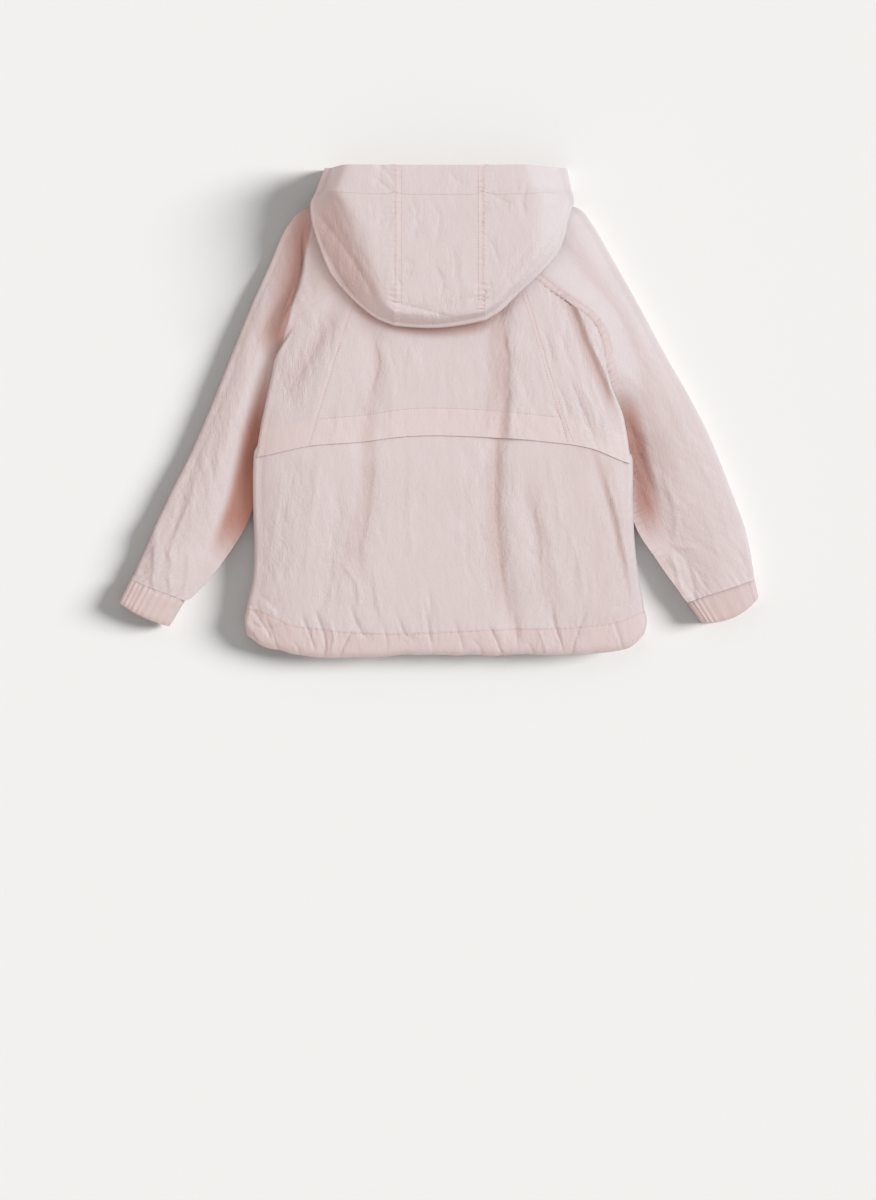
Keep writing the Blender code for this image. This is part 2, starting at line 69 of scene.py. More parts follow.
SEAM = 0.02  # each panel stops this far short of its seam line
CENTRE = 6.0  # x of the jacket's middle
SQUARE = 0.55  # how square a turned edge is: 1 is a round one

# Rough lengths of the panels, from which their grids' steps are counted.
NECK_RUN = 32
SLANT_RUN = 220
YOKE_WIDE = 280
YOKE_SIDE_WIDE = 70
BODY_WIDE = 410
HEM_RUN = 30
SLEEVE_WIDE = 96
SLEEVE_UNDER = 90
CUFF_RUN = 26
CUFF_WIDE = 150
FRONT_WIDE = 200
HOOD_RUN = 200
HOOD_SIDE_WIDE = 90
HOOD_CENTRE_WIDE = 97

# The back, its yoke and its hem.
ROLL = 9.5  # reach of the fold at the body's sides and where the yoke turns over a sleeve
ROLL_STEPS = 12  # steps of the grid round that fold
RIGHT_LIFT = 3.0  # the right of the back lies higher at its fold than the left by this much
ARCH = (5, 0.8)  # powers of the arch across the back
FOLD_FADE = 18.0  # length over which a large fold fades beyond its ends
FOLD_AT_SIDES = 0.25  # share of a large fold's depth at the sides of the back
NECK_SHARE = 0.2  # share of the yoke's length above the slanted seams
EDGE_SHARE = 6 / 7  # share of a yoke side's rows before the strip that turns
THINNER = (0.12, 6, 1.2)  # share by which the yoke's fold thins, from which row, and over how many
YOKE_HEM = 30.0  # width of the yoke's turned-up edge
LAP = 1.7  # how far the back panel lies below the yoke that laps over it
LAP_FADE = (50.0, 62.0)  # how far below the flap's edge that starts, and over what length
TUCK_RUN = 12.0  # length above the flap's edge over which the back's folds draw in
BACK_TOP = -8.0  # y of the back panel's top, under the yoke
BACK_END = -240.0  # y of its section at the hem seam
ARMPIT_LIFT = 9.6  # height of the side seam at the armpit
LIFT_ENDS = (-155.0, -95.0)  # y between which the side seam rises to that height
HEM_DEEP = 26.0  # length of the body that the hem takes up
HEM_BULGE = 0.012  # share by which the hem is wider half way down
HEM_WAVER = 0.7  # how far the hem's edge wavers
HEM_FALL = 0.2  # share by which the hem is lower at its edge

# The sleeves and cuffs.
LEAN = {"left": -0.34, "right": 0.36}  # turn of each sleeve from the jacket's length, in radians
SLEEVE_END = 11  # last sleeve section
ARMPIT_ROW = 6.45  # sleeve section at which the rings curl up towards the underarm seam
CURLING = 0.5  # number of sections over which they start to
UNDERARM_RISE = 0.3  # how far a ring's upper edge there lies above the top of a full underarm fold
SEAM_DROP = 0.8  # how far the sleeve's inner edge lies below the yoke's turned edge
SLEEVE_RISE = (0.12, 0.55)  # share across a sleeve at which its top rises, and over what share
SLEEVE_FALL = 3.5  # power of its fall to the outer fold
STEP_HALF = 1.2  # half the width of the step where a sleeve's cloth is folded
CUFF_HEIGHT = 20.0
CUFF_FALL = 0.10  # share by which a cuff is lower at both its edges
# Sleeve sections between which the yoke starts to roll over each sleeve.
FOLD_ROWS = {"left": (3.9, 4.7), "right": (4.6, 5.8)}

# The hood.
HOOD_END = 12  # last hood section
HOOD_HEM = 33.0  # width of the hem at the hood's mouth
HOOD_ROLL = 8.0  # reach of the fold beside the mouth
HOOD_EDGE = {"left": 3.0, "right": 5.0}  # and along the hood's lower edge
HOOD_NARROWS = (2, 3)  # section from which the fold narrows to that, and over how many
HOOD_BEND = 0.006  # how softly a hood side bends from flat to falling
# Share of each hood section that lies flat before it falls to the folded outline, at a few of the sections.
HOOD_FLAT = {"left": ((0, 4, 5, 7, 9, 12), (0.82, 0.78, 0.64, 0.42, 0.36, 0.5)),
             "right": ((0, 4, 12), (0.6, 0.7, 0.72))}
# Bow of the crown, y below which it starts and its length, z above which it starts and its height.
HOOD_BOW = (5.0, 125.0, 30.0, 38.0, 8.0)

# The fronts and the zip.
FRONT_LIFT = (-62.0, -92.0)  # y between which a front's side rises to the side seam
FRONT_TURN = (0.8, 0.2)  # share across a front at which that rise starts, and over what share
FRONT_GAP = 25  # gap in y between the raglan seam's points and the side seam's on a front's edge
ZIP_HALF = 4.0  # half the gap between the fronts, where the zip shows
ZIP_ENDS = (265.0, -268.0)  # y of the zip's two ends
ZIP_TAPE = 13.0  # half the tape's width
TAPE_FACE = 1.7  # height of the tape's outer face, just inside the fronts
TOOTH_PITCH = 2.6
TOOTH_HALF = (2.1, 0.75, 0.7)  # half a tooth's width, length and height
TOOTH_SHIFT = 1.1  # how far the teeth stand by turns left and right of the middle
TEETH_MARGIN = 4  # how far short of the zip's ends they stop
TOOTH_BEVEL = 0.25
SLIDER = ((-3.2, 240, 0.1), (3.2, 240, 0.1), (4.4, 252, 0.1), (-4.4, 252, 0.1),
          (-3.2, 240, 2.6), (3.2, 240, 2.6), (4.4, 252, 2.6), (-4.4, 252, 2.6))
BOX_CORNERS = np.array([(-1, -1, -1), (1, -1, -1), (1, 1, -1), (-1, 1, -1),
                        (-1, -1, 1), (1, -1, 1), (1, 1, 1), (-1, 1, 1)])
BOX_FACES = np.array([[0, 3, 2, 1], [4, 5, 6, 7], [0, 1, 5, 4], [1, 2, 6, 5], [2, 3, 7, 6], [3, 0, 4, 7]])

# Stitches, and how far their rows lie from the seams.
STITCH_PITCH = 3.2
STITCH_HALF = (1.15, 0.30, 0.24)  # half a stitch's length, width and height
STITCH_LIFT = 0.1  # height of its middle above the cloth
HOOD_ROWS = {"left": (1.5, 7.5), "right": (1.5, 6.5)}
SLANT_ROWS = (2.0, 8.0)
RAGLAN_ROWS = (1.5, 8.5)
HEM_ROW = 1.5
CUFF_ROW = 2.0
ALL_OVER = 60.0  # further than any point of a casing is from its edge
GROOVE = (0.18, 1.8)  # depth and half width of the valley that a row pulls in

# Creases, painted shade and crinkles.
SHARPNESS = 1.2  # 2 is a round crease, 1 a sharp one
TAPER = 0.3  # share of its path over which a crease or a band of painted shade tapers at each end
REACH = 3  # number of its widths beyond which it isn't reckoned
WORN_MARGIN = 8  # how much wider than itself a crease leaves the cloth creased
WORN_HEIGHT = 1.5  # height of a crease that leaves it fully creased
PAINTED_SHADE_POWER = 1.5  # 1 is a round band of painted shade, more is a flatter one with steeper sides
CRINKLE_WAVES = (27.0, 21.0, 17.0, 13.5, 11.0, 9.0, 7.5)
CRINKLE = 0.022  # height of a fine crease for each millimetre of its wave
CRINKLE_PLAIN = 0.35  # share of that height away from the creases
CRINKLE_BENEATH = 1.5  # and where the cloth faces down
FACING = 1.4  # how soon a slope that faces up takes the whole relief

# Colours.
PINK_LIGHT = (0.722, 0.640, 0.648)
PINK_DEEP = (0.675, 0.588, 0.592)
PINK_DOUBLE = (0.725, 0.622, 0.622)
# Painted shade: the warm deep colour mixed in where shade falls on the cloth.
PINK_PAINTED_SHADE = (0.41, 0.18, 0.13)
THREAD_DARK = (0.60, 0.43, 0.41)
THREAD_PALE = (0.72, 0.56, 0.54)
TAPE_DARK = (0.58, 0.43, 0.42)
TAPE_PALE = (0.64, 0.49, 0.48)
TEETH_PINK = (0.66, 0.47, 0.46, 1.0)
PAPER = (0.885, 0.875, 0.855, 1.0)
WHITE = (1.0, 1.0, 1.0)

# Body sections from below the hem to the neck.
# y, left fold, right fold, height at the folds, height at the centre
BODY = np.array([
    (-285, -212, 230, 20, 27),
    (-240, -209, 227, 22, 31),
    (-200, -202, 221, 24, 35),
    (-165, -201, 217, 25, 37),
    (-113, -202, 214, 26, 39),
    (-53, -201, 213, 28, 41),
    (-20, -197, 208, 29, 41),
    (38, -185, 197, 30, 41),
    (93, -172, 184, 30, 40),
    (130, -185, 196, 26, 40),
    (166, -190, 200, 24, 38),
    (190, -186, 196, 22, 35),
    (232, -160, 172, 14, 28),
], float)

# Seams of the back, as points from the neck down: the raglan seam and the slanted seam inside it.
RAGLAN = {
    "left": np.array([(-38, 187), (-50, 177), (-65, 166), (-107, 131), (-157, 92),
                      (-174, 35), (-187, -23), (-190, -48), (-191.5, -62)], float),
    "right": np.array([(49, 187), (61, 177), (76, 166), (118, 132), (171, 92),
                       (186, 37), (198, -17), (202, -48), (203, -66)], float),
}
SLANT = {
    "left": np.array([(-65, 166), (-93, 103), (-117, 30), (-138, -41)], float),
    "right": np.array([(76, 166), (92, 121), (118, 37), (141, -39)], float),
}
FLAP_EDGE = np.array([(-215, -54), (-201, -53), (-138, -41), (-85, -37), (-36, -31),
                      (58, -32), (113, -36), (168, -44), (213, -60), (227, -61)], float)
HEM_SEAM = np.array([(-225, -215), (-210, -217), (-184, -224), (-164, -234), (-129, -240), (80, -240),
                     (162, -237), (201, -231), (222, -222), (235, -218)], float)
HEM_EDGE = np.array([(-225, -240), (-212, -246), (-195, -257), (-162, -267), (-20, -269), (80, -269),
                     (190, -265), (213, -260), (228, -246), (240, -240)], float)

# The largest folds of the back: a trough from the first point through the second to the third.
# x0, y0, x1, y1, x2, y2, width, depth
FOLDS = np.array([
    (68, 120, 77, 44, 66, -40, 9, 3.0),
    (66, -75, 66, -121, 82, -236, 10, 2.7),
    (-69, 75, -66, 35, -83, -36, 10, 2.4),
    (-80, -76, -82, -110, -90, -180, 12, 2.1),
    (148, 107, 168, 62, 184, 20, 9, 2.7),
    (177, -75, 190, -118, 209, -200, 9, 3.0),
    (-113, 108, -140, 60, -163, 18, 14, 2.1),
    (-152, -76, -164, -132, -176, -178, 14, 1.8),
    (95, -102, 112, -154, 124, -222, 11, 1.8),
    (-107, -87, -107, -154, -119, -202, 12, 1.8),
], float)

# Sleeve sections from the neck to the cuff.
# outer edge x and y, inner edge x and y, height, reach of the outer fold, place across the sleeve of the
# fold in the cloth and its step, radius of the underarm fold
SLEEVE = {
    "left": np.array([
        (-82, 224, -38, 187, 26, 7.0, 0.60, 0, 3.0),
        (-138, 223, -50, 177, 22, 5.5, 0.85, 0, 3.0),
        (-165, 202, -65, 166, 19, 5.0, 0.84, 7, 3.0),
        (-184, 160, -107, 131, 18, 5.5, 0.57, 11, 3.0),
        (-206, 110, -157, 92, 18, 6.5, 0.26, 7, 3.0),
        (-228, 55, -174, 35, 20, 8.0, 0.24, 0, 3.0),
        (-250, 0, -187, -23, 20, 8.0, 0.24, 0, 3.0),
        (-272, -50, -196, -80, 20, 8.0, 0.24, 0, 3.4),
        (-294, -94, -209, -125, 20, 8.0, 0.24, 0, 5.5),
        (-316, -143, -239, -172, 20, 8.0, 0.24, 0, 6.5),
        (-332, -178, -266, -203, 19.5, 8.0, 0.24, 0, 7.5),
        (-337, -187, -277, -210, 19, 8.0, 0.24, 0, 8.0),
    ], float),
    "right": np.array([
        (93, 224, 49, 187, 26, 7.0, 0.60, 0, 3.0),
        (149, 223, 61, 177, 26, 7.0, 0.60, 0, 3.0),
        (170, 203, 76, 166, 26, 7.5, 0.50, 0, 3.0),
        (195, 160, 118, 132, 25, 8.0, 0.40, 0, 3.0),
        (223, 110, 171, 92, 22, 8.0, 0.26, 0, 3.0),
        (250, 60, 186, 37, 20, 8.0, 0.24, 0, 3.0),
        (278, 11, 198, -17, 19, 8.0, 0.24, 0, 3.0),
        (300, -33, 209, -72, 19, 8.0, 0.24, 0, 3.4),
        (322, -88, 216, -125, 19, 8.0, 0.24, 0, 5.5),
        (338, -132, 241, -166, 19, 8.0, 0.24, 0, 6.5),
        (346, -172, 265, -200, 19, 8.0, 0.24, 0, 7.5),
        (348, -187, 274, -212, 19, 8.0, 0.24, 0, 8.0),
    ], float),
}

# Cuffs: the ends of the far edge of the band, outer x and y, inner x and y, and the bow of the edge.
CUFF = {"left": (-349, -212, -294, -238, 3.0), "right": (352, -206, 290, -234, 9.0)}

# Hood side panels, a row for each section from the mouth round to the crown.
# y of the seam with the centre panel, folded outline x and y, height beneath it, then the way underneath
# to the zip or the neck seam: middle x, y and z, end x, y and z
HOOD = {
    "left": np.array([
        (263.5, -124, 264.5, 0, -60, 266, 0, 1.7, 266, 0),
        (250, -129, 252, 0, -65, 250, 0, 1.7, 232, 0),
        (240, -133, 241, 3, -75, 249, 0, 1.7, 191, 0),
        (235.5, -134.5, 237, 7, -82, 248, 0, -38, 191.5, 0.6),
        (231, -136, 233, 12, -92, 247, 1, -58, 207.5, 1.2),
        (222, -139, 224, 22, -110, 233, 22, -82, 232, 8),
        (206, -138, 207, 31, -104, 215, 36, -59, 206.5, 30.5),
        (186, -133, 188, 35, -90, 198, 40, -40, 188.5, 36),
        (166, -125, 165, 38, -80, 184, 42, -36, 187.5, 36.2),
        (146, -114, 142, 42, -70, 168, 44, -33, 187.5, 36.6),
        (130, -93, 118, 43, -58, 152, 45, -31, 187.5, 37),
        (118, -69, 98.5, 43.5, -48, 142, 45, -29, 187.5, 37.2),
        (112, -47, 89, 44, -40, 140, 45, -28, 187.5, 37.2),
    ], float),
    "right": np.array([
        (263.5, 142, 264.5, 0, 72, 266, 0, 10.3, 266, 0),
        (250, 145, 252, 0, 77, 250, 0, 10.3, 232, 0),
        (240, 147, 241, 3, 87, 249, 0, 10.3, 191, 0),
        (235.5, 148, 237, 7, 93, 248, 0, 49, 191.5, 0.6),
        (231, 149, 233, 12, 104, 247, 1, 69, 207.5, 1.2),
        (222, 149, 224, 22, 122, 233, 22, 93, 232, 8),
        (206, 143, 207, 31, 114, 215, 36, 70, 206.5, 30),
        (186, 139, 188, 35, 101, 198, 40, 51, 188.5, 36),
        (166, 130, 166, 38, 92, 184, 42, 47, 187.5, 36.2),
        (146, 110, 144, 42, 82, 168, 44, 44, 187.5, 36.6),
        (130, 85.5, 121, 43, 68, 152, 45, 42, 187.5, 37),
        (120, 69, 105, 43.5, 57, 144, 45, 40, 187.5, 37.2),
        (114, 52, 94.5, 44, 47, 142, 45, 39, 187.5, 37.2),
    ], float),
}
HOOD_SEAM_X = {"left": -46.5, "right": 51.0}
HOOD_CREST = np.array([(90, 63), (112, 63), (150, 62), (200, 60), (240, 56), (269, 51)], float)

# Ribs that the elastic pulls up in each cuff: place across it from its inner end, half width and height.
CUFF_RIBS = {
    "left": [(0.955, 0.026, 1.6), (0.88, 0.03, 1.9), (0.80, 0.024, 1.2), (0.715, 0.034, 2.2),
             (0.62, 0.024, 1.5), (0.50, 0.04, 0.9), (0.37, 0.03, 0.6), (0.22, 0.04, 0.7), (0.09, 0.026, 0.8)],
    "right": [(0.03, 0.018, 1.6), (0.085, 0.02, 2.2), (0.145, 0.024, 1.7), (0.22, 0.022, 1.0),
              (0.36, 0.04, 0.5), (0.55, 0.05, 0.4), (0.74, 0.04, 0.5), (0.93, 0.024, 1.0)],
}

# Creases, as the jacket shows them. Height (below 0 for a trough), width on the left and on
# the right of the path as it runs down, and the path's points.
CREASES = {
    "yoke": [
        (1.5, 8, 11, [(70, 107), (81, 44), (79, -33), (76, -53)]),
        (1.3, 4.5, 9, [(68, 140), (72, 104), (80, 48), (79, -11), (77, -60)]),
        (0.6, 2.2, 4, [(52, 46), (57, 6), (54, -46)]),
        (-1.1, 4, 3, [(-71, 82), (-64, 48), (-75, 13), (-83, -7), (-84, -46)]),
        (0.8, 2.4, 7, [(-69, 85), (-62, 48), (-72, 13)]),
        (0.7, 2.4, 7, [(-30, 81), (-31, 53), (-34, 22)]),
        (0.5, 3, 6, [(-47, 33), (-50, 0), (-48, -46)]),
        (-2.4, 9, 3, [(112, 176), (128, 148), (147, 110), (161, 72), (178, 34), (190, 4), (196, -20)]),
        (2.2, 2.6, 9, [(134, 144), (153, 108), (168, 70), (185, 32), (194, 0)]),
        (-1.5, 2.2, 3, [(143, 36), (151, 14), (160, -12), (170, -30)]),
        (-1.0, 2.0, 2.6, [(128, 30), (138, 8), (143, -14)]),
        (-0.9, 2.0, 2.6, [(112, 92), (122, 66), (125, 40)]),
        (-0.9, 2.0, 2.6, [(134, 84), (141, 58), (149, 40)]),
        (-0.8, 2.0, 2.6, [(120, 8), (134, -12), (140, -36)]),
        (0.9, 2.0, 3.4, [(154, 28), (168, 2), (174, -24)]),
        (0.9, 3, 4, [(160, 46), (175, 9), (183, -22), (185, -50)]),
        (-1.3, 2.4, 3, [(150, 16), (164, -16), (176, -51)]),
        (0.6, 2.4, 4, [(141, 13), (153, -16), (159, -44)]),
        (0.5, 3, 5, [(119, 108), (130, 66), (137, 26)]),
        (0.4, 2.5, 4, [(105, 88), (114, 42), (123, -11)]),
        (-1.9, 11, 10, [(-106, 119), (-131, 72), (-160, 24), (-182, 0)]),
        (0.5, 4, 7, [(-118, 66), (-131, 16), (-142, -33)]),
        (0.5, 3, 5, [(-102, 42), (-107, 0), (-115, -46)]),
        (-0.4, 4, 5, [(10, 66), (9, 16), (16, -38)]),
    ],
    "back": [
        (1.1, 6, 11, [(-146, -33), (-160, -110), (-174, -178), (-182, -216)]),
        (0.6, 3, 6, [(-166, -66), (-180, -143), (-189, -209)]),
        (1.3, 5, 11, [(-104, -66), (-105, -138), (-116, -202), (-122, -237)]),
        (0.9, 3, 8, [(-68, -20), (-70, -88), (-78, -140), (-86, -200)]),
        (0.7, 3, 6, [(-83, -66), (-85, -121), (-79, -170)]),
        (-2.4, 9, 4, [(64, 20), (63, -60), (64, -120), (71, -190), (83, -258)]),
        (1.2, 5, 9, [(94, -66), (112, -127), (116, -187), (130, -249)]),
        (0.9, 4, 8, [(138, -116), (156, -179), (164, -244)]),
        (2.2, 2.8, 10, [(180, -66), (193, -108), (206, -168), (214, -216)]),
        (0.6, 3, 6, [(118, -44), (130, -99), (136, -148)]),
        (1.1, 2.6, 5, [(-112, -160), (-96, -180), (-86, -200), (-88, -240)]),
        (0.8, 3, 5, [(-70, -165), (-67, -204), (-57, -246)]),
        (-0.7, 3, 3, [(-12, -193), (-8, -218), (-12, -249)]),
        (-1, 4, 4, [(-199, -200), (-180, -216), (-161, -244)]),
        (0.9, 4, 5, [(-193, -213), (-173, -226), (-151, -253)]),
        (-0.8, 4, 4, [(218, -196), (207, -211), (185, -220)]),
        (0.5, 4, 8, [(-27, -38), (-31, -110), (-26, -176)]),
        (-0.5, 4, 6, [(36, -33), (30, -121), (36, -209)]),
        (0.5, 3, 6, [(-127, -50), (-138, -121), (-146, -198)]),
        (0.5, 3, 6, [(188, -50), (201, -105), (212, -148)]),
    ],
    "hem": [
        (-2.2, 2.4, 1.4, [(-136, -214), (-126, -240), (-122, -258), (-126, -276)]),
        (-1.6, 1.5, 2.2, [(-150, -222), (-140, -246), (-134, -268)]),
        (1.4, 1.5, 3.2, [(-120, -228), (-113, -250), (-118, -272)]),
        (-1.8, 1.8, 2.0, [(-84, -226), (-98, -250), (-112, -280)]),
        (-1.7, 1.6, 2.2, [(-98, -206), (-88, -236), (-78, -248), (-62, -232)]),
        (-1.5, 1.6, 2.0, [(-48, -216), (-38, -242), (-30, -250), (-18, -236)]),
        (-1.4, 1.5, 2.6, [(-17, -206), (-10, -240), (-5, -268)]),
        (-0.9, 1.6, 2.2, [(16, -228), (25, -252), (28, -270)]),
        (-1.7, 1.7, 1.9, [(54, -232), (65, -256), (76, -284)]),
        (-1.0, 1.8, 2.0, [(82, -216), (86, -246), (88, -266)]),
        (-1.9, 2.4, 1.5, [(122, -200), (128, -236), (135, -256), (138, -270)]),
        (-1.9, 1.5, 2.0, [(164, -216), (152, -246), (144, -276)]),
        (1.2, 1.6, 3.4, [(106, -232), (116, -256), (119, -272)]),
        (-1.0, 1.8, 2.2, [(188, -222), (199, -252), (204, -270)]),
        (-1.1, 1.8, 2.0, [(-190, -222), (-179, -250), (-170, -276)]),
        (-1.6, 1.8, 2.2, [(-214, -200), (-198, -226), (-186, -244), (-182, -256)]),
        (1.2, 1.8, 3.2, [(-222, -216), (-206, -238), (-186, -264)]),
        (-1.2, 1.8, 2.2, [(-208, -232), (-190, -240), (-168, -236)]),
        (-0.9, 1.8, 2.0, [(-62, -230), (-56, -252), (-55, -268)]),
        (-0.9, 1.6, 2.2, [(36, -250), (46, -262), (50, -280)]),
        (-0.8, 1.6, 2.2, [(96, -252), (104, -266), (106, -282)]),
        (-0.8, 1.6, 2.2, [(-160, -252), (-152, -264), (-154, -282)]),
    ],
    "sleeve_left": [
        (2.0, 2.2, 12, [(-164, 236), (-153, 190), (-154, 147), (-165, 108), (-177, 72)]),
        (-1.6, 9, 14, [(-204, 108), (-235, 22), (-270, -66), (-290, -143), (-296, -187)]),
        (1.3, 12, 9, [(-206, 44), (-233, -33), (-248, -105), (-257, -165)]),
        (1.8, 2.4, 7, [(-262, -72), (-276, -112), (-292, -150), (-297, -182)]),
        (0.9, 2.4, 3, [(-196, -112), (-220, -144), (-240, -174)]),
        (2.2, 2.8, 8, [(-305, -88), (-309, -138), (-311, -182), (-313, -200)]),
        (1.6, 2.6, 5, [(-299, -148), (-291, -167), (-294, -185), (-291, -211)]),
        (1.1, 3, 6, [(-270, -148), (-274, -178), (-280, -213)]),
        (-1, 3, 3, [(-337, -165), (-329, -191)]),
        (-0.8, 3, 4, [(-320, -143), (-324, -194)]),
        (0.9, 5, 9, [(-178, 165), (-202, 101), (-222, 42)]),
        (0.5, 3, 5, [(-248, -33), (-266, -88), (-272, -143)]),
        (-0.8, 5, 5, [(-219, -66), (-235, -121), (-255, -165)]),
        (0.5, 4, 5, [(-226, -11), (-237, -66), (-239, -99)]),
        (0.4, 3, 5, [(-266, -11), (-292, -99), (-314, -148)]),
    ],
    "sleeve_right": [
        (-2, 7, 5, [(205, 6), (219, -42), (235, -88), (251, -148)]),
        (1.6, 3, 6, [(245, -62), (257, -99), (262, -123), (257, -152)]),
        (0.9, 3, 4, [(223, -29), (236, -64), (248, -99)]),
        (-0.8, 3, 3, [(216, -66), (229, -105), (239, -132)]),
        (1, 3, 3, [(254, -147), (271, -152), (289, -150)]),
        (2, 5, 3, [(254, -152), (262, -176), (271, -216)]),
        (-1.4, 3, 2.6, [(267, -156), (278, -183), (284, -216)]),
        (-0.9, 2.6, 3, [(278, -167), (292, -194), (298, -216)]),
        (0.6, 3, 7, [(273, -29), (306, -99), (327, -161)]),
        (0.7, 4, 7, [(280, -84), (302, -143), (315, -187)]),
        (-1.2, 2.6, 3, [(327, -150), (337, -172), (346, -198)]),
        (-0.8, 7, 7, [(177, 121), (205, 66), (234, 0)]),
        (0.6, 5, 8, [(183, 187), (210, 132), (236, 77)]),
        (0.5, 4, 7, [(239, 44), (267, -22), (289, -88)]),
    ],
    "hood": [
        (-1.7, 4, 4.5, [(-141, 224), (-115, 191), (-87, 151), (-60, 101)]),
        (-1.3, 3.2, 3.4, [(-138, 207), (-120, 167), (-101, 134), (-76, 103)]),
        (-0.7, 4, 5, [(-125, 235), (-106, 191), (-83, 163), (-54, 121)]),
        (-0.6, 3, 4, [(-116, 242), (-102, 207), (-94, 187)]),
        (-1.4, 3, 3.4, [(-54, 114), (-14, 105), (19, 95)]),
        (-1.3, 3.2, 3, [(-10, 102), (27, 116), (60, 119)]),
        (0.9, 4, 3, [(150, 224), (114, 172), (78, 127), (56, 102)]),
        (0.7, 4, 3, [(146, 196), (106, 151), (73, 112)]),
        (-0.6, 4, 4, [(130, 216), (91, 163), (60, 125)]),
        (-1.1, 2.2, 2.4, [(-70, 268), (-56, 256), (-45, 240)]),
        (-1.0, 2.2, 2.4, [(-72, 250), (-56, 240), (-42, 224)]),
        (-0.9, 2.4, 2.6, [(-74, 196), (-56, 206), (-40, 212)]),
        (-1.0, 2.2, 2.4, [(-50, 152), (-36, 157), (-22, 152)]),
        (-1.1, 2.2, 2.4, [(-56, 128), (-38, 141), (-18, 144)]),
        (-0.9, 2.2, 2.4, [(-4, 154), (6, 136), (2, 118)]),
        (-0.8, 2.4, 2.6, [(14, 180), (20, 154), (16, 132)]),
        (-0.8, 2.4, 2.6, [(10, 259), (20, 247), (36, 241)]),
        (-0.9, 2.4, 2.6, [(52, 236), (69, 225), (90, 217)]),
        (-0.9, 2.4, 2.6, [(52, 188), (62, 170), (68, 150)]),
        (-0.9, 1.8, 1.8, [(38, 131), (51, 132), (66, 130)]),
        (-0.9, 1.8, 1.8, [(38, 124), (51, 124), (69, 123)]),
        (-0.9, 1.8, 1.8, [(36, 117), (51, 117), (69, 118)]),
        (-0.8, 2.4, 2.6, [(-30, 232), (-22, 204), (-27, 176)]),
        (-0.7, 2.4, 2.6, [(-4, 226), (2, 200), (-2, 172)]),
        (-0.8, 2.2, 2.6, [(100, 246), (92, 226), (96, 204)]),
        (0.5, 8, 8, [(-94, 235), (-72, 191), (-65, 136)]),
    ],
    "front": [
        (-1.6, 6, 9, [(-60, 150), (-75, 60), (-70, -40)]),
        (-1.2, 5, 7, [(-130, 60), (-150, -20), (-160, -110)]),
        (-1.4, 6, 8, [(-95, -60), (-105, -140), (-98, -220)]),
        (-1.0, 4, 6, [(-40, -90), (-48, -170), (-44, -232)]),
        (-1.5, 6, 8, [(62, 140), (80, 40), (74, -60)]),
        (-1.2, 5, 8, [(140, 50), (158, -40), (165, -130)]),
        (-1.3, 6, 9, [(98, -70), (112, -150), (104, -225)]),
        (-0.9, 4, 6, [(45, -60), (40, -140), (48, -228)]),
    ],
    "sleeve_under": [
        (-1.5, 6, 8, [(-225, 20), (-255, -60), (-285, -140)]),
        (-1.1, 5, 6, [(-205, 60), (-232, -20), (-262, -100)]),
        (-1.3, 5, 5, [(-300, -130), (-312, -160), (-318, -192)]),
        (-1.2, 5, 5, [(-275, -150), (-286, -180), (-292, -206)]),
        (-1.6, 6, 8, [(235, 40), (268, -40), (298, -120)]),
        (-1.1, 5, 6, [(215, 20), (238, -60), (262, -130)]),
        (-1.3, 5, 5, [(318, -130), (325, -165), (330, -195)]),
        (-1.2, 5, 5, [(280, -150), (292, -180), (298, -210)]),
    ],
}

# Painted shade, in bands where one layer shades the next and on shaded slopes and sides of the panels:
# strength, width on the left and on the right of the path as it runs down, and the path's points.
PAINTED_SHADES = {
    "hood": [(0.40, 24, 20, [(-126, 262), (-118, 205), (-104, 166), (-84, 134), (-50, 96)])],
    "yoke": [(0.55, 9, 9, [(-116, 148), (-92, 122), (-66, 102), (-20, 88), (24, 88), (58, 98), (86, 124),
                           (104, 146)]),
             (0.34, 15, 7, [(58, 190), (66, 110), (73, 60), (71, 20), (66, -80)]),
             (0.14, 9, 9, [(-84, 130), (-74, 80), (-68, 40), (-82, -20), (-86, -70)]),
             (0.42, 9, 2.5, [(104, 196), (130, 148), (149, 110), (163, 72), (180, 34), (192, 2), (200, -30)]),
             (0.16, 9, 9, [(-100, 124), (-124, 84), (-150, 44), (-176, 6)])],
    "sleeve_left": [(0.72, 24, 1.6, [(-134, 280), (-138, 212), (-149, 150), (-161, 104), (-172, 70),
                                     (-182, 40)]),
                    (0.95, 11, 60, [(-180, 70), (-193, 11), (-204, -33), (-213, -72), (-221, -105),
                                    (-234, -142), (-248, -176)])],
    "sleeve_right": [(0.85, 13, 13, [(196, 30), (205, 0), (216, -35), (224, -80), (231, -118), (245, -160)])],
    "back": [(0.3, 12, 6, [(68, 40), (66, -40), (64, -90), (64, -140), (72, -200), (84, -270)]),
             (0.14, 12, 12, [(-70, 0), (-76, -90), (-92, -150), (-104, -220)]),
             (0.14, 7, 7, [(100, -40), (112, -120), (118, -180), (130, -250)]),
             (0.26, 6, 4, [(150, 20), (172, -46), (190, -106), (203, -165), (214, -220)]),
             (0.11, 40, 40, [(160, 80), (176, -60), (192, -170), (200, -330)])],
}


def curve(at, knots, values):
    """A cubic curve through (knots, values), its slope at each knot taken from the knots beside it."""
    knots = np.asarray(knots, float)
    values = np.asarray(values, float)
    slopes = np.gradient(values, knots)
    at = np.clip(at, knots[0], knots[-1])
    i = np.clip(np.searchsorted(knots, at, side="right") - 1, 0, len(knots) - 2)
    step = knots[i + 1] - knots[i]
    t = (at - knots[i]) / step
    return ((1 + 2 * t) * (1 - t) ** 2 * values[i] + t * (1 - t) ** 2 * step * slopes[i]
            + t * t * (3 - 2 * t) * values[i + 1] + t * t * (t - 1) * step * slopes[i + 1])


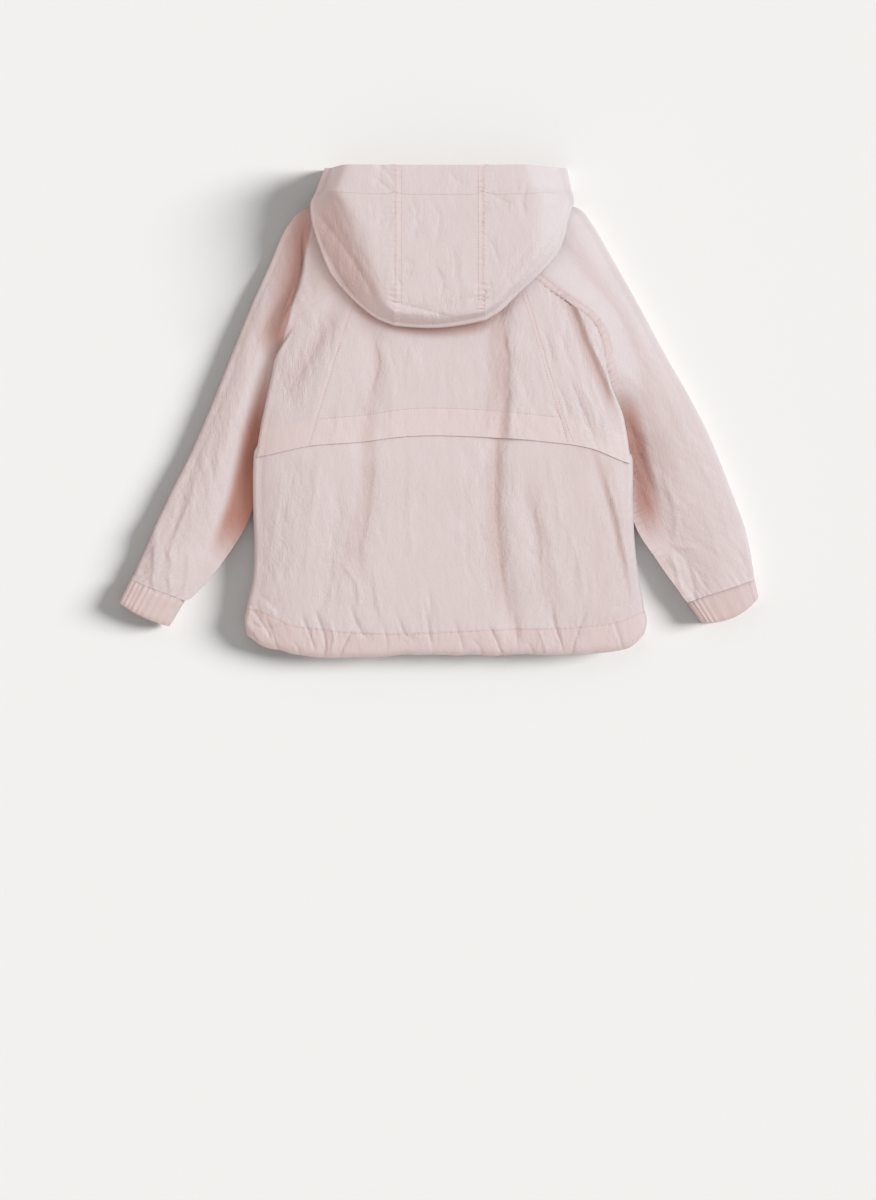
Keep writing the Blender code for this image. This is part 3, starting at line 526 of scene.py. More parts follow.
def along(rows, at):
    """The table's rows read between rows: at = 1.5 is half way from the second row to the third."""
    knots = np.arange(len(rows))
    return np.stack([curve(at, knots, rows[:, c]) for c in range(rows.shape[1])], axis=-1)


def ease(t):
    """0 below 0, 1 above 1 and a smooth step between."""
    t = np.clip(t, 0, 1)
    return t * t * (3 - 2 * t)


def bell(t):
    """1 at 0, falling evenly to nothing on both sides."""
    return np.exp(-t ** 2)


def unit(vectors):
    """The same directions with a length of 1."""
    return vectors / np.linalg.norm(vectors, axis=-1, keepdims=True)


def steps(length, spacing=FINE):
    """How many points of a grid fit along a length."""
    return int(length / spacing)


def even_rows(path, first, last, spacing):
    """Row numbers between first and last that cut a path through a table's points into equal lengths."""
    fine = np.linspace(first, last, 400)
    points = along(path, fine)
    run = np.concatenate([[0], np.cumsum(np.linalg.norm(np.diff(points, axis=0), axis=1))])
    return np.interp(np.linspace(0, run[-1], steps(run[-1], spacing) + 2), run, fine)


def fold_depth(x, y):
    """How far the large folds lower the back at (x, y): a bell across each fold's curved line."""
    depth = np.zeros(np.broadcast(x, y).shape)
    for x0, y0, x1, y1, x2, y2, width, deep in FOLDS:
        t = np.clip((y0 - y) / (y0 - y2), 0, 1)
        line = curve(t, [0, (y0 - y1) / (y0 - y2), 1], [x0, x1, x2])
        beyond = np.clip(y - y0, 0, None) + np.clip(y2 - y, 0, None)
        depth = depth + deep * bell(beyond / FOLD_FADE) * bell((x - line) / width)
    return depth


def back_height(x, y):
    """Height of the back's outer face: an arch between the fold edges, lowered by the large folds."""
    left, right, edge, crown = (curve(y, BODY[:, 0], BODY[:, c]) for c in range(1, 5))
    half = np.where(x < CENTRE, CENTRE - left, right - CENTRE) - ROLL
    edge = edge + np.where(x < CENTRE, 0, RIGHT_LIFT)
    across = np.clip(np.abs(x - CENTRE) / half, 0, 1)
    arch = (1 - across ** ARCH[0]) ** ARCH[1]
    deep = FOLD_AT_SIDES + (1 - FOLD_AT_SIDES) * arch
    return edge + (crown - edge) * arch - fold_depth(x, y) * deep


def half_turn(end, way, height, low, reach, count):
    """A fold on each row: from the point end at its height, out along way and back underneath, as half an
    ellipse with its shoulders squared."""
    turn = np.linspace(0, math.pi, count + 1)[1:]
    flat = end[:, None] + (np.abs(np.sin(turn)) ** SQUARE * reach[:, None])[..., None] * way[:, None]
    return np.dstack([flat, height[:, None] - (height - low)[:, None] / 2 * (1 - np.cos(turn))])


def on_back(flat):
    """Flat points lifted to the back's height."""
    return np.dstack([flat, back_height(flat[..., 0], flat[..., 1])])


def slant_point(side, t):
    """Points on the slanted seam at the shares t of the way down it."""
    return along(SLANT[side], t * (len(SLANT[side]) - 1))


def raglan_roll(side, row):
    """Radius of the fold where the yoke rolls over the sleeve, at a sleeve section."""
    first, last = FOLD_ROWS[side]
    return ROLL * ease((row - first) / (last - first))


def flap_bend(last_row):
    """How far the flap's free edge lies from the straight last row of a panel, along that row."""
    return curve(last_row[:, 0], *FLAP_EDGE.T) - last_row[:, 1]


def yoke_centre_grid():
    """Straight rows from one slanted seam to the other, bent more and more to follow the flap's edge."""
    neck = np.linspace(0, 2, steps(NECK_RUN), endpoint=False)
    slant = np.linspace(0, 1, steps(SLANT_RUN))
    left, right = (np.concatenate([along(RAGLAN[side], neck), slant_point(side, slant)])[:, None]
                   for side in SIDES)
    left[..., 0] += SEAM
    right[..., 0] -= SEAM
    down = np.concatenate([neck / 2 * NECK_SHARE, NECK_SHARE + (1 - NECK_SHARE) * slant])[:, None]
    across = np.linspace(0, 1, steps(YOKE_WIDE))[:, None]
    flat = left + (right - left) * across
    flat[..., 1] += down ** 3 * flap_bend(flat[-1])
    return on_back(flat)


def yoke_side_grid(side):
    """Rows from the slanted seam to the raglan seam. Further down their ends turn over the sleeve in a half
    ellipse, blended in from a flat row."""
    row = even_rows(RAGLAN[side], 2.05, 8.0, FINE)
    t = (row - 2) / 6
    outer = along(RAGLAN[side], row)
    inner = slant_point(side, t)
    inner[:, 0] += SIGN[side] * SEAM
    top_steps = steps(YOKE_SIDE_WIDE)
    share = np.concatenate([np.linspace(0, EDGE_SHARE, top_steps), np.linspace(EDGE_SHARE, 1, 5)[1:]])
    flat = inner[:, None] + (outer - inner)[:, None] * share[:, None]
    flat[..., 1] += t[:, None] ** 4 * flap_bend(flat[-1])
    top = on_back(flat)
    radius = raglan_roll(side, row)
    thinner, first, over = THINNER
    low = top[:, -1, 2] - 2 * radius * (1 - thinner * ease((row - first) / over))
    way = unit(flat[:, -1] - flat[:, -2])
    turned = half_turn(flat[:, -1], way, top[:, -1, 2], low, radius, ROLL_STEPS)
    folded = np.concatenate([top[:, top_steps:], turned], axis=1)
    spread = np.linspace(0, 1, ROLL_STEPS + 5)[1:, None]
    begin = flat[:, top_steps - 1, None]
    straight = on_back(begin + (flat[:, -1:] - begin) * spread)
    blend = (radius / ROLL)[:, None, None]
    grid = np.concatenate([top[:, :top_steps], straight + (folded - straight) * blend], axis=1)
    grid[:, -1, 0] -= SIGN[side] * SEAM
    return grid


def under_flap(x, y):
    """How far the back lies below the flap that laps over it, fading out below the flap's edge."""
    return LAP * ease((y - curve(x, *FLAP_EDGE.T) + LAP_FADE[0]) / LAP_FADE[1])


def body_rows(y, low, columns, lap):
    """Rows across the back at each y: the arch between the folds, then a half ellipse down to the side seam
    at each end; lap is 1 for rows that run under the flap and 0 for others."""
    left, right = (curve(y, BODY[:, 0], BODY[:, c]) for c in (1, 2))
    start, stop = left + ROLL, right - ROLL
    x = start[:, None] + (stop - start)[:, None] * np.linspace(0, 1, columns)
    across = np.broadcast_to(y[:, None], x.shape)
    inset = lap * under_flap(x, across)
    top = np.dstack([x, across, back_height(x, across) - inset])
    ends = []
    for place, sign in ((0, -1.0), (-1, 1.0)):
        way = np.broadcast_to([sign, 0.0], (len(y), 2))
        tucked = lap * ease((y - curve(x[:, place], *FLAP_EDGE.T)) / TUCK_RUN)
        ends.append(half_turn(top[:, place, :2], way, top[:, place, 2], low + inset[:, place],
                              ROLL - 2 * LAP * tucked, ROLL_STEPS))
    return np.concatenate([ends[0][:, ::-1], top, ends[1]], axis=1)


def back_grid(spacing):
    """Rows of the lower back from under the yoke to the hem seam, its sides rolled down to the side seams."""
    t = np.linspace(0, 1, steps(BACK_TOP - BACK_END, spacing))
    y = BACK_TOP + (BACK_END - BACK_TOP) * t
    low = ARMPIT_LIFT * ease((y - LIFT_ENDS[0]) / (LIFT_ENDS[1] - LIFT_ENDS[0]))
    grid = body_rows(y, low, steps(BODY_WIDE, spacing), 1)
    grid[..., 1] = BACK_TOP + (curve(grid[..., 0], *HEM_SEAM.T) + SEAM - BACK_TOP) * t[:, None]
    return grid


def hem_back_grid():
    """The back's last row carried on to the hem's edge, bulged a little, wavering and falling at its edge."""
    t = np.linspace(0, 1, steps(HEM_RUN, FINEST))
    columns = steps(BODY_WIDE, FINEST)
    x = body_rows(np.full(1, BACK_END), np.zeros(1), columns, 0)[0, :, 0]
    grid = body_rows(BACK_END - HEM_DEEP * t, np.zeros(len(t)), columns, 0)
    t = t[:, None]
    grid[..., 0] = CENTRE + (x - CENTRE) * (1 + HEM_BULGE * np.sin(math.pi * t))
    top = curve(x, *HEM_SEAM.T) - SEAM
    waver = HEM_WAVER * np.sin(x / 6.1 + 2 * np.sin(x / 23)) * np.sin(x / 41)
    grid[..., 1] = top + (curve(grid[..., 0], *HEM_EDGE.T) + waver - top) * t
    grid[..., 2] *= 1 - HEM_FALL * t ** 8
    return grid


def sleeve_grid(side):
    """Rings of a sleeve: over the top from the inner seam, round the outer fold in half an ellipse and back
    along the surface. Above the armpit a ring stays open towards the body. Below it the end curls up in a
    quarter turn towards the underarm seam, and stops a few millimetres short of the ring's upper edge."""
    row = even_rows(SLEEVE[side][:, :2], 0, SLEEVE_END, SLEEVE_ROWS)
    table = along(SLEEVE[side], row)
    edge, inside = table[:, 0:2], table[:, 2:4]
    crest, outer, fold_at, step, inner = table[:, 4:].T[..., None]
    way = unit(edge - inside)
    start = inside + way * 2 * SEAM
    width = np.linalg.norm(edge - start, axis=1)[:, None]
    curled = ease((row - ARMPIT_ROW + CURLING / 2) / CURLING)[:, None]
    rolled = raglan_roll(side, row) / ROLL
    seam = back_height(*inside.T) - rolled * (2 * ROLL * rolled + SEAM_DROP)
    first = seam[:, None] + (2 * inner + UNDERARM_RISE - seam[:, None]) * curled
    reach = 1 - outer / width
    near = STEP_HALF / width
    share = np.linspace(0, 1, steps(SLEEVE_WIDE))
    rise = ease((share - SLEEVE_RISE[0]) / SLEEVE_RISE[1])
    fall = np.clip(share / 0.5 - 1, 0, 1) ** SLEEVE_FALL
    height = (first + (crest - first) * rise + (2 * outer - crest) * fall
              + step * rise * (1 - ease((share - fold_at + near) / (2 * near))))
    across = share * reach * width
    top = np.dstack([start[:, None] + across[..., None] * way[:, None], height])
    turn = half_turn(top[:, -1, :2], way, top[:, -1, 2], np.zeros(len(row)), outer[:, 0], 10)
    tuck = inner / width
    lift = np.linspace(0, math.pi / 2, 6)
    flat_end = tuck * np.linspace(1, 0, 6)
    end_share = flat_end + (tuck * (1 - np.sin(lift)) - flat_end) * curled
    end_height = inner * (1 - np.cos(lift)) * curled
    floor_share = reach + (tuck - reach) * np.linspace(0, 1, steps(SLEEVE_UNDER, PLAIN))[1:-1]
    under_share = np.concatenate([floor_share, end_share], axis=1)
    under_height = np.concatenate([np.zeros(floor_share.shape), end_height], axis=1)
    under = np.dstack([start[:, None] + (under_share * width)[..., None] * way[:, None], under_height])
    return np.concatenate([top, turn, under], axis=1)


def cuff_grid(side):
    """A flattened ring from the sleeve's end to the cuff's bowed edge: a squared-off ellipse, flat beneath,
    with ribs pulled up by the elastic as uneven waves round its upper face. Its first and last columns meet
    at the underarm."""
    last = along(SLEEVE[side], np.array(float(SLEEVE_END)))
    far_out, far_in = np.array(CUFF[side][0:2]), np.array(CUFF[side][2:4])
    bow = CUFF[side][4]
    t = np.concatenate([[0.008, 0.02], np.linspace(0.06, 0.94, steps(CUFF_RUN)), [0.985, 1.0]])[:, None]
    outer = last[0:2] + (far_out - last[0:2]) * t
    inner = last[2:4] + (far_in - last[2:4]) * t
    half = np.linalg.norm(outer - inner, axis=1, keepdims=True) / 2
    way = (outer - inner) / (2 * half)
    down = np.column_stack([way[:, 1], -way[:, 0]]) * SIGN[side]
    turn = np.concatenate([np.linspace(math.pi, 0, steps(CUFF_WIDE), endpoint=False),
                           np.linspace(0, -math.pi + 0.002, 40)])
    up, across = np.sin(turn), np.cos(turn)
    place = (across + 1) / 2
    ribs = np.zeros(len(turn))
    for middle, wide, rise in CUFF_RIBS[side]:
        ribs = ribs + rise * bell((place - middle) / wide)
    pulled = 0.75 + 0.25 * np.cos(2 * math.pi * t)
    ring = CUFF_HEIGHT / 2 * (1 + np.sign(up) * np.abs(up) ** SQUARE)
    height = ring + ribs * np.clip(3 * up, 0, 1) * pulled
    height = height * (1 - CUFF_FALL * ((t - 0.5) / 0.5) ** 8)
    flat = (outer + inner)[:, None] / 2 + (across * half)[..., None] * way[:, None]
    flat = flat + (up ** 2 * bow * t)[..., None] * down[:, None]
    return np.dstack([flat, np.maximum(height, 0)])


def front_grid(side):
    """Rows of one front, flat on the surface, from the zip to the raglan seam and then to the side seam."""
    raglan = along(RAGLAN[side], even_rows(RAGLAN[side], 0, 6, PLAIN))
    raglan = np.column_stack([raglan, np.zeros(len(raglan))])
    back = back_grid(PLAIN)[:, 0 if side == "left" else -1]
    outer = np.concatenate([raglan, back[back[:, 1] < raglan[-1, 1] - FRONT_GAP]])
    outer[:, 0] -= SIGN[side] * 2 * SEAM
    share = np.linspace(0, 1, steps(FRONT_WIDE, PLAIN))
    x = CENTRE + SIGN[side] * (ZIP_HALF + SEAM)
    x = x + (outer[:, :1] - x) * share
    down = np.clip((np.arange(len(outer)) - len(raglan) + 1) / (len(outer) - len(raglan)), 0, 1)[:, None]
    y = outer[:, 1:2] + (curve(x, *HEM_SEAM.T) - curve(outer[:, :1], *HEM_SEAM.T)) * down
    rise = outer[:, 2] * ease((outer[:, 1] - FRONT_LIFT[0]) / (FRONT_LIFT[1] - FRONT_LIFT[0]))
    return np.dstack([x, y, rise[:, None] * ease((share - FRONT_TURN[0]) / FRONT_TURN[1])])


def hem_front_grid(side):
    """The front's last row carried on to the hem's edge, flat on the surface."""
    seam = front_grid(side)[-1]
    t = np.linspace(0, 1, 8)[:, None]
    top = seam[:, 1] - 2 * SEAM
    y = top + (curve(seam[:, 0], *HEM_EDGE.T) - top) * t
    x = np.broadcast_to(seam[:, 0], y.shape)
    return np.dstack([x, y, np.zeros(y.shape)])


def hood_side_grid(side):
    """Sections of a hood side: flat from the centre panel's seam, then falling evenly to the folded outline,
    half an ellipse round it, and a Bezier curve underneath to the zip or the neck seam."""
    sign = SIGN[side]
    row = np.linspace(0, HOOD_END, steps(HOOD_RUN))
    table = along(HOOD[side], row)
    seam_y, outline, low = table[:, 0], table[:, 1:3], np.maximum(table[:, 3], 0)
    start = np.column_stack([np.full(len(row), HOOD_SEAM_X[side] + sign * SEAM), seam_y])
    way = unit(outline - start)
    radius = HOOD_ROLL + (HOOD_EDGE[side] - HOOD_ROLL) * ease((row - HOOD_NARROWS[0]) / HOOD_NARROWS[1])
    last = outline - way * radius[:, None]
    high = curve(seam_y, *HOOD_CREST.T)
    edge = low + 2 * radius
    t = np.linspace(0, 1, steps(HOOD_SIDE_WIDE))
    past = t - curve(row, *HOOD_FLAT[side])[:, None]
    fall = past + np.sqrt(past ** 2 + HOOD_BEND)
    height = high[:, None] + (edge - high)[:, None] * (fall - fall[:, :1]) / (fall[:, -1:] - fall[:, :1])
    top = np.dstack([start[:, None] + (last - start)[:, None] * t[:, None], height])
    turn = half_turn(last, way, edge, low, radius, 10)
    s = np.linspace(0, 1, 20)[1:, None]
    begin = np.column_stack([last, low])[:, None]
    under = begin * (1 - s) ** 2 + 2 * table[:, None, 4:7] * s * (1 - s) + table[:, None, 7:10] * s * s
    zip_edge = CENTRE + sign * (ZIP_HALF + SEAM)
    under[..., 0] = sign * np.maximum(sign * under[..., 0], sign * zip_edge)
    under[..., 2] = np.maximum(under[..., 2], 0)
    return np.concatenate([top, turn, under], axis=1)


def hood_centre_grid(left_side, right_side):
    """A ruled strip between the two hood sides: along their seams from the mouth to the crown, then over the
    crown and underneath along their last sections."""
    left, right = (np.concatenate([g[:, 0], g[-1, 1:]]) for g in (left_side, right_side))
    left[:, 0] += 2 * SEAM
    right[:, 0] -= 2 * SEAM
    across = np.linspace(0, 1, steps(HOOD_CENTRE_WIDE))[:, None]
    grid = left[:, None] + (right - left)[:, None] * across
    bow, below, length, above, rise = HOOD_BOW
    crown = ease((below - grid[..., 1]) / length) * ease((grid[..., 2] - above) / rise)
    grid[..., 1] -= bow * np.sin(math.pi * across[:, 0]) * crown
    return grid


def normals(grid, flip):
    """Unit normals on the cloth's outer face: the step down the rows crossed with the step across them."""
    out = np.cross(np.gradient(grid, axis=0), np.gradient(grid, axis=1))
    out = out / np.maximum(np.linalg.norm(out, axis=2, keepdims=True), 1e-9)
    return -out if flip else out


def lengths(grid):
    """Distances along the cloth: across from the first column, and down from the first row."""
    across = np.linalg.norm(np.diff(grid, axis=1), axis=2).cumsum(axis=1)
    down = np.linalg.norm(np.diff(grid, axis=0), axis=2).cumsum(axis=0)
    return np.pad(across, ((0, 0), (1, 0))), np.pad(down, ((1, 0), (0, 0)))


def beside_path(x, y, points, reach):
    """For the points (x, y) within reach of a curved path through the points given: which they are, their
    squared distance from it, whether they lie on its right as it runs down, and a taper to nothing at both
    ends."""
    points = np.array(points, float)
    path = along(points, np.linspace(0, len(points) - 1, 10 * (len(points) - 1) + 1))
    low, high = path.min(axis=0) - reach, path.max(axis=0) + reach
    near = (x > low[0]) & (x < high[0]) & (y > low[1]) & (y < high[1])
    step = np.diff(path, axis=0)
    off = np.stack([x[near], y[near]], axis=-1)[:, None] - path[:-1]
    t = np.clip((off * step).sum(axis=2) / (step ** 2).sum(axis=1), 0, 1)
    off = off - t[..., None] * step
    apart = (off ** 2).sum(axis=2)
    nearest = apart.argmin(axis=1)
    pick = np.arange(len(nearest))
    side = off[pick, nearest, 1] * step[nearest, 0] - off[pick, nearest, 0] * step[nearest, 1]
    place = (nearest + t[pick, nearest]) / len(step)
    return near, apart[pick, nearest], side > 0, ease(place / TAPER) * ease((1 - place) / TAPER)


def crease_lift(x, y, creases):
    """Heights of the listed creases at (x, y) and how creased the cloth is there. Each crease is its
    height times a pointed bell across its path, with its own width on the path's two sides, tapering to
    nothing at both ends."""
    lift, worn = np.zeros(x.shape), np.zeros(x.shape)
    for height, left, right, points in creases:
        near, apart, on_right, taper = beside_path(x, y, points, REACH * max(left, right))
        wide = np.where(on_right, right, left)
        lift[near] += height * taper * np.exp(-(np.sqrt(apart) / wide) ** SHARPNESS)
        around = taper * np.exp(-apart / (left + right + WORN_MARGIN) ** 2)
        worn[near] = np.maximum(worn[near], around * min(abs(height), WORN_HEIGHT) / WORN_HEIGHT)
    return lift, worn


def painted_shade_strength(x, y, hollows):
    """How strongly shade is painted into the cloth's colour where one layer shades the next and on shaded
    slopes:
    each a bell across its path, with its own width on the path's two sides, fading at both ends."""
    tone = np.zeros(x.shape)
    for strength, left, right, points in hollows:
        near, apart, on_right, taper = beside_path(x, y, points, REACH * max(left, right))
        wide = np.where(on_right, right, left)
        tone[near] = np.maximum(tone[near], strength * taper * np.exp(-(apart / wide ** 2) ** PAINTED_SHADE_POWER))
    return tone


def crinkle(u, v, seed):
    """Fine uneven creases: slanted waves that mostly run along the length v, each bent by two slower waves,
    sharpened to a crease and fading in and out in patches."""
    draw = np.random.default_rng(seed)
    total = np.zeros(np.broadcast(u, v).shape)
    for wave in CRINKLE_WAVES:
        slant = draw.normal(0, 0.30)
        a, b, c, d = draw.uniform(0, 2 * math.pi, 4)
        turn = 2 * math.pi / wave
        bend = 1.5 * np.sin(v * turn / 4.3 + a) + 0.8 * np.sin((u + 0.6 * v) * turn / 3.1 + b)
        phase = (u * math.cos(slant) + v * math.sin(slant)) * turn + bend
        patch = 0.5 + 0.5 * np.sin(u * turn / 5.7 + c) * np.sin(v * turn / 8.9 + d)
        total = total + wave * patch * (np.abs(np.cos(phase / 2)) - 0.64)
    return total


def pucker(apart, run, depth, pitch, reach, seed):
    """Puckers of a seam at distance apart from it: two waves along the seam, uneven in height, dying out over
    reach."""
    a, b, c = np.random.default_rng(seed).uniform(0, 2 * math.pi, 3)
    turn = 2 * math.pi / pitch
    wave = 0.6 * np.cos(run * turn + a + 0.9 * np.sin(run * turn / 5.3)) + 0.4 * np.cos(run * turn / 0.62 + b)
    return depth * wave * (0.6 + 0.4 * np.sin(run * turn / 7.7 + c)) * bell(apart / reach)


def groove(apart, place):
    """A shallow valley that a row of stitches pulls into the cloth, at its place from the seam: a bell."""
    depth, half = GROOVE
    return -depth * bell((apart - place) / half)


def from_edge(grid, edge):
    """Distance of each point from one edge of the cloth, and its place along that edge."""
    across, down = lengths(grid)
    if edge == "left":
        return across, down
    if edge == "right":
        return across[:, -1:] - across, down
    if edge == "top":
        return down, across
    return down[-1:] - down, across


def line_beside(node, edge, apart, first=0.0, last=1.0):
    """Points on a panel and its normals along a line at a distance from one edge, between shares of it."""
    cloth = cloths[node]
    away, _ = from_edge(cloth["grid"], edge)
    both = np.concatenate([cloth["grid"], cloth["out"]], axis=2)
    if edge in ("top", "bottom"):
        away, both = away.T, both.transpose(1, 0, 2)
    if edge in ("right", "bottom"):
        away, both = away[:, ::-1], both[:, ::-1]
    rows = np.arange(int(first * len(away)), int(last * len(away)))
    column = np.clip((away[rows] < apart).sum(axis=1) - 1, 0, away.shape[1] - 2)
    begin, end = away[rows, column], away[rows, column + 1]
    t = np.clip((apart - begin) / np.maximum(end - begin, 1e-6), 0, 1)[:, None]
    return both[rows, column] * (1 - t) + both[rows, column + 1] * t


def mesh_object(name, points, faces, material):
    """A mesh object from arrays of points (millimetres) and faces, at the origin and shaded smooth."""
    mesh = bpy.data.meshes.new(name)
    mesh.from_pydata(((points - ORIGIN) * MM).tolist(), [], faces.tolist())
    mesh.polygons.foreach_set("use_smooth", np.ones(len(faces), bool))
    mesh.materials.append(material)
    made = bpy.data.objects.new(name, mesh)
    bpy.context.scene.collection.objects.link(made)
    return made


def grid_faces(rows, columns, flip):
    """Four-cornered faces between neighbouring points of a grid."""
    index = np.arange(rows * columns).reshape(rows, columns)
    faces = np.stack([index[:-1, :-1], index[1:, :-1], index[1:, 1:], index[:-1, 1:]], axis=-1).reshape(-1, 4)
    return faces[:, ::-1] if flip else faces


def sharpen_rim(made, rows, columns):
    """Marks the cut edges of a grid sharp, so that the wall's rim doesn't bend the shading beside a seam."""
    ends = np.empty(2 * len(made.data.edges), int)
    made.data.edges.foreach_get("vertices", ends)
    row, column = ends.reshape(-1, 2) // columns, ends.reshape(-1, 2) % columns
    rim = ((row == 0) | (row == rows - 1)).all(axis=1) & (row[:, 0] == row[:, 1])
    rim |= ((column == 0) | (column == columns - 1)).all(axis=1) & (column[:, 0] == column[:, 1])
    made.data.attributes.new("sharp_edge", "BOOLEAN", "EDGE").data.foreach_set("value", rim)


def paint(made, name, values):
    """Stores one number for each point of a mesh, for its material to read."""
    store = made.data.attributes.new(name, "FLOAT", "POINT")
    store.data.foreach_set("value", values.ravel().astype(np.float32))


def make_cloth(node, grid, material, creases=(), seed=0, flip=False, wall=CLOTH, lean=0.0,
               puckers=(), grooves=(), hollows=(), doubled=(), beneath=(), tone=0.0,
               held="laid", rests_on=(), slot="cloth"):
    """One panel: its grid moved out along its normals by its creases, crinkles, puckers and stitch grooves
    where it faces up, and lifted off the surface by its troughs and crinkles where it faces down."""
    out = normals(grid, flip)
    x, y = grid[..., 0], grid[..., 1]
    lift, worn = crease_lift(x, y, creases)
    across_lean = x * math.cos(lean) + y * math.sin(lean)
    down_lean = y * math.cos(lean) - x * math.sin(lean)
    fine = CRINKLE * crinkle(across_lean, down_lean, seed)
    relief = lift + (CRINKLE_PLAIN + worn) * fine
    for edge, depth, pitch, reach in puckers:
        relief = relief + pucker(*from_edge(grid, edge), depth, pitch, reach, seed + len(edge))
    for edge, place in grooves:
        relief = relief + groove(from_edge(grid, edge)[0], place)
    up = np.clip(FACING * out[..., 2], 0, 1)
    under = np.clip(-out[..., 2], 0, 1)
    pressed = crease_lift(x, y, beneath)[0] - CRINKLE_BENEATH * np.abs(fine)
    laid = grid + out * (relief * up + pressed * under)[..., None]
    laid[..., 2] = np.maximum(laid[..., 2], 0)
    rows, columns = x.shape
    faces = grid_faces(rows, columns, flip)
    made = mesh_object(node + "_cloth", laid.reshape(-1, 3), faces, material)
    sharpen_rim(made, rows, columns)
    across, down = lengths(grid)
    flat = np.dstack([across, down]).reshape(-1, 2) * MM
    made.data.uv_layers.new(name="cut").data.foreach_set("uv", flat[faces.ravel()].ravel())
    paint(made, "creased", worn)
    # Painted shade: a darker, warmer pink along the listed bands, mostly where the cloth faces up, and at
    # least tone over the whole panel.
    paint(made, "hollow", np.maximum(painted_shade_strength(x, y, hollows) * np.clip(2 * out[..., 2] + 1, 0, 1), tone))
    double = np.zeros(x.shape)
    for edge, wide in doubled:
        double = np.maximum(double, ease(wide + 0.5 - from_edge(grid, edge)[0]))
    paint(made, "doubled", double)
    thicken = made.modifiers.new("wall", "SOLIDIFY")
    thicken.thickness = wall * MM
    thicken.offset = -1
    thicken.use_quality_normals = True
    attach(made, "root")
    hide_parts(node)
    corners = grid.reshape(-1, 3)[faces]
    one, other = corners[:, 2] - corners[:, 0], corners[:, 3] - corners[:, 1]
    area = np.linalg.norm(np.cross(one, other), axis=1).sum() / 2 * MM * MM
    return {"object": made, "grid": laid, "out": normals(laid, flip), "held": held,
            "rests_on": list(rests_on), "flat": (across.max() * MM, down.max() * MM), "area": area,
            "with": []}


def make_stitches(name, material, carrier, lines):
    """Stitches along lines on the cloth: a capsule (rings whose radius falls towards both tips) at every
    pitch, its length along the line and its height along the cloth's normal, all joined in one mesh."""
    places, ways, outs = [], [], []
    for line in lines:
        run = np.concatenate([[0], np.linalg.norm(np.diff(line[:, :3], axis=0), axis=1).cumsum()])
        at = np.arange(STITCH_PITCH, run[-1] - STITCH_PITCH / 2, STITCH_PITCH)
        behind, here, ahead = (np.stack([np.interp(at + shift, run, values) for values in line.T], axis=1)
                               for shift in (-1, 0, 1))
        places.append(here[:, :3])
        ways.append(ahead[:, :3] - behind[:, :3])
        outs.append(here[:, 3:])
    place, way, out = (np.concatenate(part) for part in (places, ways, outs))
    way = unit(way)
    side = unit(np.cross(out, way))
    lift = np.cross(way, side)
    corners = 6
    ring = np.linspace(0, 2 * math.pi, corners, endpoint=False)
    length = np.array([-1, -0.72, 0, 0.72, 1])
    girth = np.array([0.25, 0.8, 1.0, 0.8, 0.25])
    local = np.stack([np.repeat(length, corners) * STITCH_HALF[0],
                      np.outer(girth, np.cos(ring)).ravel() * STITCH_HALF[1],
                      np.outer(girth, np.sin(ring)).ravel() * STITCH_HALF[2] + STITCH_LIFT], axis=1)
    points = (place[:, None] + local[:, 0, None] * way[:, None] + local[:, 1, None] * side[:, None]
              + local[:, 2, None] * lift[:, None])
    index = np.arange(len(local)).reshape(-1, corners)
    after = np.roll(index, -1, axis=1)
    quads = np.stack([index[:-1], index[1:], after[1:], after[:-1]], axis=-1).reshape(-1, 4)
    caps = np.array([[5, 4, 3, 2], [5, 2, 1, 0], [24, 25, 26, 27], [24, 27, 28, 29]])
    one = np.concatenate([quads[:, ::-1], caps[:, ::-1]])
    faces = (np.arange(len(place))[:, None, None] * len(local) + one).reshape(-1, 4)
    made = mesh_object(name, points.reshape(-1, 3), faces, material)
    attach(made, "root")
    cloths[carrier]["with"].append(made)


def node_after(tree, kind, **values):
    """A new shader node with its sockets or settings given by name."""
    made = tree.nodes.new(kind)
    for name, value in values.items():
        if name in made.inputs:
            made.inputs[name].default_value = value
        else:
            setattr(made, name, value)
    return made


def new_material(name, roughness):
    """A new material, its node tree and its shader."""
    material = bpy.data.materials.new(name)
    material.use_nodes = True
    shader = material.node_tree.nodes["Principled BSDF"]
    shader.inputs["Roughness"].default_value = roughness
    return material, material.node_tree, shader


def blend_colours(tree, share, first, second):
    """The output of a mix of two colours by a share; the first is a plain colour or another mix."""
    mix = node_after(tree, "ShaderNodeMix", data_type="RGBA")
    tree.links.new(share, mix.inputs[0])
    if isinstance(first, tuple):
        mix.inputs[6].default_value = (*first, 1.0)
    else:
        tree.links.new(first, mix.inputs[6])
    mix.inputs[7].default_value = (*second, 1.0)
    return mix.outputs[2]


